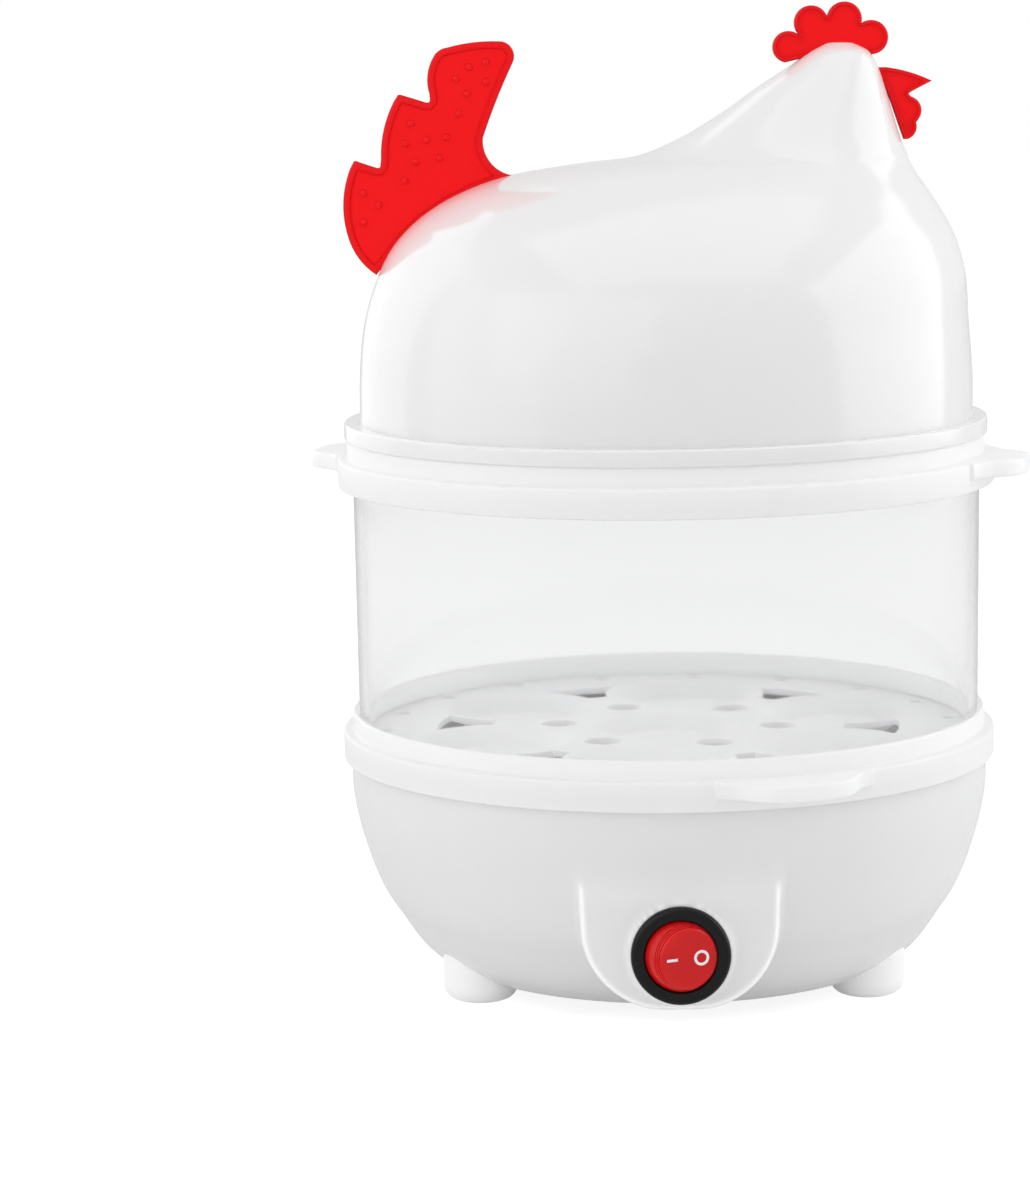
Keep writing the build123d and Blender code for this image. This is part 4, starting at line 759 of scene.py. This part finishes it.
def make_tray(name, node, body, base, ear_angle):
    """One tray standing at the height base, its ears at an angle."""
    angles = even_angles([(ear_angle % 360, 15), ((ear_angle + 180) % 360, 15)], 1.7, 0.45)
    ends = [ear_angle + half + off for half in (0, 180) for off in (-14.26, -14.14, 14.14, 14.26)]
    angles = np.sort(np.concatenate([angles, np.radians(np.mod(ends, 360))]))
    cos_a, sin_a = np.cos(angles), np.sin(angles)
    reach = ear_reach(angles, ear_angle)
    ear = np.clip((reach - skirt_radius) / 1.2, 0, 1)

    def row(radius, height):
        """One ring; radius and height are numbers or one value for each angle."""
        return np.stack([radius * cos_a, radius * sin_a, base + height + 0 * cos_a], axis=1)

    def seat_sink(radius):
        """How far the plate lies below its level at each angle of a ring."""
        x, y = radius * cos_a, radius * sin_a
        sink = np.zeros(len(angles))
        turns = [math.radians(seat_turn + 60 * k) for k in range(6)]
        middles = [(0, 0)] + [(seat_pitch * math.cos(t), seat_pitch * math.sin(t)) for t in turns]
        for mx, my in middles:
            t = np.clip((seat_wide - np.hypot(x - mx, y - my)) / (seat_wide - seat_flat), 0, 1)
            sink = np.maximum(sink, t * t * (3 - 2 * t) * seat_depth)
        return sink

    plate_radii = np.concatenate([[0], np.arange(1.3, 68, 1.25), [69.5, 71.5, 73.5, 75.6]])
    rows = [row(r, plate_thick - seat_sink(r)) for r in plate_radii]
    rows += [row(r, h) for r, h in (
        [(76.1, 1.72), (collar_inner, 2.1), (collar_inner, 6.5)]
        + arc((collar_inner + 0.6, 6.4), 0.6, 170, 10, 8)
        + [(collar_radius, 6.2), (collar_radius, 2.9), (collar_radius + 0.12, 2.5)]
        + [(collar_radius + 0.5, skirt_rise), (reach - 0.7, skirt_rise), (reach - 0.35, skirt_rise - 0.09)]
        + [(reach - 0.1, skirt_rise - 0.34), (reach, skirt_rise - 0.7)]
        + [(reach, -ear_under), (reach - 0.15 * ear, -ear_under - 0.42 * ear)]
        + [(reach - 0.55 * ear, -ear_under - 0.6 * ear), (skirt_radius + 0.5 * ear, -ear_under - 0.6 * ear)]
        + [(skirt_radius, -ear_under - 1.0 * ear), (skirt_radius, -4.2), (skirt_radius - 0.15, -4.55)]
        + [(skirt_radius - 0.5, -skirt_drop), (skirt_inner + 0.3, -skirt_drop)]
        + [(skirt_inner, -4.4), (skirt_inner, 0.0)]
    )]
    under_radii = np.concatenate([[76.0, 72.0], np.arange(67.5, 1.5, -2.2), [0]])
    rows += [row(r, np.minimum(0.0, plate_thick - 1.5 - seat_sink(r))) for r in under_radii]
    piece = ring_piece(name, rows, frosted, 38)
    points, faces = [], []

    def add_cutter(rings):
        """One more closed cutter beside the others."""
        faces.extend([tuple(len(points) + i for i in face) for face in strip_faces(4, len(rings[0]))])
        points.extend(np.asarray(rings, float).reshape(-1, 3).tolist())

    def add_round_cutter(turn, pitch, radius, sides):
        """A round cutter at a turn and distance from the axis."""
        spot = (pitch * math.cos(turn), pitch * math.sin(turn), base - cut_half)
        add_cutter(rod_points(spot, (0, 0, 1), radius, 2 * cut_half, sides))

    for k in range(6):
        middle = math.radians(seat_turn + 30 + 60 * k)
        add_round_cutter(middle, hole_pitch, hole_radius, 40)
        left = middle - math.radians(30)
        side = []
        for r in np.linspace(wedge_inner + 0.3, wedge_outer - 0.3, 14):
            side.append((r, left + math.acos((r**2 + seat_pitch**2 - wedge_gap**2) / (2 * r * seat_pitch))))
        far = side[-1][1]
        outline = [(wedge_inner, middle)] + side
        outline += [(wedge_outer, far + (2 * (middle - far)) * t) for t in np.linspace(0.03, 0.97, 12)]
        outline += [(r, 2 * middle - a) for r, a in side[::-1]]
        flat = [(r * math.cos(a), r * math.sin(a)) for r, a in outline]
        centre = [(sum(p[0] for p in flat) / len(flat), sum(p[1] for p in flat) / len(flat))] * len(flat)
        add_cutter([
            [(u, v, base + h) for u, v in ring]
            for ring, h in ((centre, -cut_half), (flat, -cut_half), (flat, cut_half), (centre, cut_half))])
    for k in range(drain_count):
        add_round_cutter(math.radians(seat_turn + 20 * k), drain_pitch, drain_radius, 20)
    cut_away(piece, make_piece("cutter", points, faces, frosted), 38)
    # Painted glow: more on the plate, most on the collar's inner face, lifting them out of the shade inside
    # the tier.
    spots = vertex_places(piece.data)
    from_axis, above = np.hypot(spots[:, 0], spots[:, 1]), spots[:, 2] - base
    plate_glow = 0.05 * (from_axis < 76.0) * (above > -4.0)
    collar_glow = 0.17 * (np.abs(from_axis - collar_inner) < 0.25) * (above > 1.9)
    set_attribute(piece.data, "painted_tray_glow", np.maximum(plate_glow, collar_glow))
    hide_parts(node)
    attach(piece, body)


make_tray("egg_tray_lower", "lower_tray", "lower_tray", 60.2, -70.0)
make_tray("egg_tray_upper", "upper_tray", "upper_tray", 127.2, -14.0)


# Tier: a plain tube of clear plastic, rounded at both ends. It stands on the lower tray's plate
# inside the collar and carries the upper tray, so that the eggs can be watched.
def clear_plastic():
    """Clear plastic that lets light fall through it onto the tray."""
    material, tree, output = blank_material("tier_clear")
    shader = add(
        tree, "BsdfPrincipled", Base_Color=(0.97, 0.972, 0.972, 1), IOR=1.46, Transmission_Weight=1.0)
    haze = noise(tree, add(tree, "TexCoord").outputs["Object"], Scale=18.0, Detail=3.0)
    gloss_between(tree, haze, 0.02, 0.07, shader)
    fine_skin(tree, haze, 0.006, 0.001, shader)
    shadow = add(tree, "BsdfTransparent", Color=(0.97, 0.97, 0.97, 1))
    mix = choose(tree, add(tree, "LightPath").outputs["Is Shadow Ray"], shader, shadow)
    link(tree, mix.outputs[0], output.inputs["Surface"])
    return material


tier_low, tier_high, tier_round, tier_sides = 61.8, 127.2, 0.6, 256
tier_profile = (
    arc((74.6, tier_low + tier_round), tier_round, 180, 240, 3) + [(75.0, tier_low)]
    + arc((75.4, tier_low + tier_round), tier_round, 300, 360, 3)
    + arc((75.8, tier_high - tier_round), tier_round, 0, 90, 4)
    + arc((75.0, tier_high - tier_round), tier_round, 120, 180, 3)
)
tier_rows = ring_rows(tier_profile, full_turn(tier_sides))
tier = ring_piece("clear_tier", tier_rows, clear_plastic(), 50, loop_rows=True)
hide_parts("tier_ring")
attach(tier, "tier_ring")

# Lid: a glossy white hen-shaped shell on a round flange, with a spigot that drops into the upper
# tray's collar. Its level outlines are ellipses that lean forward into the neck and head.
lid_seat, lid_flange_radius, lid_flange_height, spigot_radius = 134.2, 78.3, 4.0, 76.0
hen_levels = np.array([
    (138.0, -74.4, 74.8, 74.4), (149.0, -74.2, 74.7, 74.2), (161.0, -73.0, 73.8, 72.9),
    (172.0, -69.8, 73.1, 69.0), (181.5, -64.6, 70.5, 62.0), (190.0, -54.8, 65.8, 52.0),
    (196.2, -40.5, 61.5, 42.5), (199.3, -23.0, 59.8, 36.0), (201.2, -6.6, 59.1, 31.5),
    (204.8, 3.1, 57.6, 27.0), (211.2, 14.3, 55.6, 21.0), (217.4, 23.3, 53.8, 15.8),
    (222.4, 31.2, 52.0, 11.2), (225.6, 36.0, 50.0, 7.8), (227.5, 39.6, 46.5, 3.5),
])


def smooth_levels(levels, steps):
    """More levels between the given ones, on smooth curves through them."""
    rows = []
    count = len(levels)
    for i in range(count - 1):
        before = levels[max(i - 1, 0)] if i else 2 * levels[0] - levels[1]
        after = levels[i + 2] if i + 2 < count else 2 * levels[-1] - levels[-2]
        a, b = levels[i], levels[i + 1]
        span = [np.linalg.norm(p - q) ** 0.5 for p, q in ((before, a), (a, b), (b, after))]
        d0 = ((a - before) / span[0] - (b - before) / (span[0] + span[1]) + (b - a) / span[1]) * span[1]
        d1 = ((b - a) / span[1] - (after - a) / (span[1] + span[2]) + (after - b) / span[2]) * span[1]
        for t in np.linspace(0, 1, steps, endpoint=False):
            rows.append(curve_point(a, d0, b, d1, t))
    rows.append(levels[-1])
    return np.array(rows)


lid_angles, lid_wall = full_turn(192), 2.2


def level_row(level, inset=0.0):
    """One ellipse of the hen's body, moved in and down."""
    height, back, front, half = level
    return np.stack([
        (back + front) / 2 + ((front - back) / 2 - inset) * np.cos(lid_angles),
        (half - inset) * np.sin(lid_angles),
        height - inset + 0 * lid_angles], axis=1)


hen_rows = smooth_levels(hen_levels, 9)
crown = [(227.72, 40.6, 44.9, 2.0), (227.78, 42.7, 42.7, 0.0)]
lid_rows = [level_row(level) for level in crown[::-1]] + [level_row(level) for level in hen_rows[::-1]]
flange_top, spigot_foot = lid_seat + lid_flange_height, lid_seat - 3.9
flange_line = (
    [(75.6, flange_top)] + arc((lid_flange_radius - 0.7, flange_top - 0.7), 0.7, 80, 0, 6)
    + arc((lid_flange_radius - 0.4, lid_seat + 0.4), 0.4, 0, -90, 5)
    + [(spigot_radius + 0.1, lid_seat), (spigot_radius, lid_seat - 0.15), (spigot_radius, spigot_foot)]
    + arc((spigot_radius - 0.5, spigot_foot), 0.5, 0, -90, 4)
    + [(72.6, lid_seat - 4.4), (72.2, lid_seat - 4.0), (72.2, 135.8)]
)
lid_rows += list(ring_rows(flange_line, lid_angles))
lid_rows += [level_row(level, lid_wall) for level in hen_rows[1:-4:3]]
lid_rows += [np.array([(43.0, 0, 224.5)] * len(lid_angles))]
lid_plastic = moulded_plastic("lid_plastic", (0.90, 0.90, 0.90), 0.13, depth=0.2, grain=0.012)
lid = ring_piece("hen_lid", np.array(lid_rows), lid_plastic, 45)
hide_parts("lid_shell")
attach(lid, "lid")


# Tail, comb and beak: flat plates of glossy red plastic whose tabs push through slots in the lid.
# The tail has three feathers with a raised border and rows of small round bumps.
def arc_through(first, middle, last, steps):
    """Points of the arc through three points, without the last one."""
    (ax, ay), (bx, by), (cx, cy) = first, middle, last
    d = 2 * (ax * (by - cy) + bx * (cy - ay) + cx * (ay - by))
    ux = ((ax**2 + ay**2) * (by - cy) + (bx**2 + by**2) * (cy - ay) + (cx**2 + cy**2) * (ay - by)) / d
    uy = ((ax**2 + ay**2) * (cx - bx) + (bx**2 + by**2) * (ax - cx) + (cx**2 + cy**2) * (bx - ax)) / d
    radius = math.hypot(ax - ux, ay - uy)
    a0, a1, a2 = [math.atan2(p[1] - uy, p[0] - ux) for p in (first, middle, last)]
    turn = (a2 - a0) % math.tau
    if (a1 - a0) % math.tau > turn:
        turn -= math.tau
    turns = [a0 + turn * k / steps for k in range(steps)]
    return [(ux + radius * math.cos(t), uy + radius * math.sin(t)) for t in turns]


outline_step, border_slope, ring_gap = 0.45, 0.12, 1.6


def plate_piece(name, outline, half, edge, border, recess):
    """An upright plate in the hen's middle plane, its edge rounded, its border raised both sides, with
    painted shade along its edge and its border.
    """
    corners = np.array(outline, float)
    line = []
    for p, q in zip(corners, np.roll(corners, -1, axis=0)):
        pieces = max(1, int(np.linalg.norm(q - p) / outline_step))
        line += [p + (q - p) * k / pieces for k in range(pieces)]
    line = np.array(line)
    along = np.roll(line, -1, axis=0) - line
    if np.sum(line[:, 0] * np.roll(line[:, 1], -1) - line[:, 1] * np.roll(line[:, 0], -1)) < 0:
        line = line[::-1].copy()
        along = np.roll(line, -1, axis=0) - line
    inward = np.stack([-along[:, 1], along[:, 0]], axis=1)
    inward = inward / np.linalg.norm(inward, axis=1)[:, None]
    inward = inward + np.roll(inward, 1, axis=0)
    inward = inward / np.linalg.norm(inward, axis=1)[:, None]

    def depth_in(points):
        """Distance of each point from the outline."""
        nearest = np.full(len(points), 1e9)
        for a, d in zip(line, along):
            t = np.clip(((points - a) @ d) / (d @ d), 0, 1)
            nearest = np.minimum(nearest, np.linalg.norm(points - a - t[:, None] * d, axis=1))
        return nearest

    steps = [edge * (1 - math.cos(math.radians(t))) for t in (25, 50, 70, 90)]
    steps += [border - border_slope, border, border + border_slope]
    steps += [step for step in (2.4, 3.6, 5.0) if step > steps[-1] + 0.3]
    flat = [tuple(p) for p in line]
    edges = [(i, (i + 1) % len(line)) for i in range(len(line))]
    for step in steps:
        ring = line + inward * step
        keep = depth_in(ring) > step - 0.02
        first = len(flat)
        flat += [tuple(p) for p in ring[keep]]
        count = len(flat) - first
        if count > 2:
            edges += [
                (first + i, first + (i + 1) % count) for i in range(count)
                if np.linalg.norm(np.subtract(flat[first + i], flat[first + (i + 1) % count])) < ring_gap]
    fine, _, faces, _, _, _ = delaunay_2d_cdt([Vector(p) for p in flat], edges, [], 1, 1e-4)
    fine = np.array([tuple(p) for p in fine])
    inside = depth_in(fine)
    rise = np.sqrt(np.maximum(0, edge**2 - np.maximum(0, edge - inside) ** 2)) - edge
    rise = rise - recess * np.clip((inside - border + border_slope) / (2 * border_slope), 0, 1)
    build = bmesh.new()
    rims = []
    for side in (-1, 1):
        places = [(x / 1000, side * (half + h) / 1000, z / 1000) for (x, z), h in zip(fine, rise)]
        skin = [build.verts.new(place) for place in places]
        for face in faces:
            build.faces.new([skin[i] for i in face])
        rims.append(skin)
    seam = {}
    for face in faces:
        for i, j in zip(face, list(face[1:]) + [face[0]]):
            seam[(i, j)] = seam.get((i, j), 0) + 1
    for i, j in seam:
        if (j, i) not in seam:
            build.faces.new((rims[0][i], rims[0][j], rims[1][j], rims[1][i]))
    bmesh.ops.recalc_face_normals(build, faces=build.faces)
    mesh = bpy.data.meshes.new(name)
    build.to_mesh(mesh)
    build.free()
    # Painted shade: the red darkens along the rounded outline and along the raised border's edge.
    depth = np.tile(depth_in(fine), 2)
    rim_shade, border_shade = 0.9 * np.exp(-(depth / 0.3) ** 2), 0.4 * np.exp(-((depth - border) / 0.2) ** 2)
    set_attribute(mesh, "painted_outline_shade", np.maximum(rim_shade, border_shade))
    mesh.shade_smooth()
    mesh.set_sharp_from_angle(angle=math.radians(40))
    mesh.materials.append(red_plastic)
    piece = add_object(name, mesh)
    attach(piece, "lid")
    return piece


# The red trim glows a little in its own colour: painted light.
red_plastic = moulded_plastic(
    "trim_red", (0.95, 0.003, 0.006), 0.32, depth=0.1, grain=0.03, shine=0.2, painted_glow=0.08)
# The red and its glow are darkened by the mesh's shade attribute: painted shade on the plates' edges and
# borders and round the bumps' feet.
red_tree, red_shader = red_plastic.node_tree, principled(red_plastic)
painted_outline_shade = add(red_tree, "Attribute")
painted_outline_shade.attribute_name = "painted_outline_shade"
plain_red = red_shader.inputs["Base Color"].links[0].from_socket
shaded_red = tint_between(red_tree, painted_outline_shade.outputs["Fac"], (0, 0, 0), (0.42, 0.001, 0.003), red_shader)
link(red_tree, plain_red, shaded_red.node.inputs["A"])
link(red_tree, shaded_red, red_shader.inputs["Emission Color"])
tail_outline = (
    arc_through((-69.6, 173.6), (-73.6, 177.4), (-76.3, 183.0), 8)
    + arc_through((-76.3, 183.0), (-77.3, 190.4), (-74.9, 200.6), 14)
    + [(-74.5, 201.1), (-74.0, 201.2), (-73.3, 200.9), (-71.0, 200.1)]
    + [(-69.0, 199.45), (-68.4, 199.4), (-68.1, 199.9)]
    + arc_through((-67.9, 201.5), (-66.9, 209.4), (-63.9, 216.4), 14)
    + [(-63.5, 216.9), (-62.9, 216.9), (-60.0, 216.0), (-57.0, 215.0), (-56.2, 214.9), (-55.8, 215.4)]
    + arc_through((-55.9, 217.0), (-56.3, 221.4), (-54.9, 225.6), 8)
    + arc_through((-54.9, 225.6), (-53.6, 227.2), (-51.4, 228.0), 4)
    + arc_through((-51.4, 228.0), (-45.5, 229.1), (-39.2, 229.3), 8)
    + arc_through((-39.2, 229.3), (-35.9, 227.7), (-35.7, 224.1), 8)
    + arc_through((-35.7, 224.1), (-40.0, 214.6), (-43.2, 206.2), 14)
    + arc_through((-43.2, 206.2), (-41.7, 200.6), (-34.8, 197.0), 12)
    + [(-34.8, 197.0), (-40.5, 195.4), (-46.0, 193.4), (-52.0, 190.4)]
    + [(-58.0, 186.5), (-63.0, 181.8), (-66.5, 177.4)]
)
tail = plate_piece("hen_tail", tail_outline, 1.5, 0.5, 1.7, 0.4)
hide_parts("tail")


def bump_tree():
    """Geometry nodes that stand a low round bump on every point of the object."""
    tree = bpy.data.node_groups.new("tail_bumps", "GeometryNodeTree")
    tree.interface.new_socket("Geometry", in_out="INPUT", socket_type="NodeSocketGeometry")
    size = tree.interface.new_socket("Bump radius", in_out="INPUT", socket_type="NodeSocketFloat")
    paint = tree.interface.new_socket("Finish", in_out="INPUT", socket_type="NodeSocketMaterial")
    tree.interface.new_socket("Geometry", in_out="OUTPUT", socket_type="NodeSocketGeometry")
    entry = tree.nodes.new("NodeGroupInput")
    leave = tree.nodes.new("NodeGroupOutput")
    spots = tree.nodes.new("GeometryNodeMeshToPoints")
    dome = tree.nodes.new("GeometryNodeMeshIcoSphere")
    dome.inputs["Subdivisions"].default_value = 3
    place = tree.nodes.new("GeometryNodeInstanceOnPoints")
    place.inputs["Scale"].default_value = (1.0, 0.62, 1.0)
    solid = tree.nodes.new("GeometryNodeRealizeInstances")
    round_off = tree.nodes.new("GeometryNodeSetShadeSmooth")
    finish = tree.nodes.new("GeometryNodeSetMaterial")
    for source, output, target, entrance in (
        (entry, "Geometry", spots, "Mesh"), (entry, "Bump radius", dome, "Radius"),
        (spots, "Points", place, "Points"), (dome, "Mesh", place, "Instance"),
        (place, "Instances", solid, "Geometry"), (solid, "Geometry", round_off, "Geometry"),
        (round_off, "Geometry", finish, "Geometry"), (entry, "Finish", finish, "Material"),
        (finish, "Geometry", leave, "Geometry"),
    ):
        link(tree, source.outputs[output], target.inputs[entrance])
    return tree, size.identifier, paint.identifier


bump_spots = [
    (-42.2, 224.4), (-46.2, 223.2), (-49.4, 220.5), (-42.2, 219.6), (-46.8, 216.9), (-49.0, 212.2),
    (-60.5, 210.0), (-61.9, 205.2), (-56.7, 206.0), (-51.9, 206.5), (-59.5, 200.8), (-53.7, 201.6),
    (-62.2, 196.3), (-72.3, 193.4), (-68.7, 190.5), (-72.4, 186.4),
]
spot_mesh = bpy.data.meshes.new("bump_spots")
web_half = 1.08
spot_mesh.from_pydata(
    [(x / 1000, side * web_half / 1000, z / 1000) for x, z in bump_spots for side in (-1, 1)], [], [])
spot_object = add_object("bump_spots", spot_mesh)
bump_group, radius_socket, finish_socket = bump_tree()
bump_maker = spot_object.modifiers.new("bumps", "NODES")
bump_maker.node_group = bump_group
bump_maker[radius_socket] = 0.0009
bump_maker[finish_socket] = red_plastic
bump_mesh = bpy.data.meshes.new_from_object(spot_object.evaluated_get(bpy.context.evaluated_depsgraph_get()))
bpy.data.objects.remove(spot_object)
# Painted shade round the foot of each bump, where it meets the plate.
above_web = np.maximum(np.abs(vertex_places(bump_mesh)[:, 1]) - 1.1, 0)
set_attribute(bump_mesh, "painted_outline_shade", 0.9 * np.exp(-(above_web / 0.22) ** 2))
bumps = add_object("tail_bumps", bump_mesh)
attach(bumps, "lid")

comb_lobes = [(30.7, 226.8, 3.8), (36.2, 232.5, 4.1), (44.2, 233.2, 4.2), (50.6, 228.8, 4.1)]


def lobe_outline(lobes, middle, foot):
    """Outline of round lobes seen from a point below them, closed along the points of foot."""
    points = []
    for turn in np.radians(np.arange(179.5, 9.5, -0.6)):
        way = np.array((math.cos(turn), math.sin(turn)))
        reach = 0.0
        for x, z, radius in lobes:
            to_lobe = np.array((x, z)) - middle
            along = to_lobe @ way
            aside = radius**2 - (to_lobe @ to_lobe - along**2)
            if aside > 0:
                reach = max(reach, along + math.sqrt(aside))
        if reach:
            points.append(tuple(middle + reach * way))
    return points + foot


comb_foot = [(48.0, 224.6), (41.0, 225.6), (34.0, 224.0)]
comb_outline = lobe_outline(comb_lobes, np.array((41.0, 223.0)), comb_foot)
comb = plate_piece("hen_comb", comb_outline, 1.6, 0.6, 0.9, 0.3)
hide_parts("comb")
beak_outline = (
    [(51.6, 221.6), (54.4, 221.6)]
    + arc_through((56.6, 221.2), (61.2, 219.9), (64.9, 218.35), 6)
    + [(64.9, 218.35), (65.2, 218.2), (64.9, 218.05), (62.0, 216.6)]
    + [(59.9, 215.5), (59.6, 215.2), (59.8, 214.9)]
    + arc_through((60.2, 214.5), (62.7, 211.4), (61.4, 208.5), 8)
    + arc_through((61.4, 208.3), (60.9, 205.4), (58.6, 204.2), 8)
    + [(58.4, 204.3), (57.1, 208.0), (55.6, 212.4), (53.8, 217.2)]
)
beak = plate_piece("hen_beak", beak_outline, 1.5, 0.5, 0.9, 0.3)
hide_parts("beak")
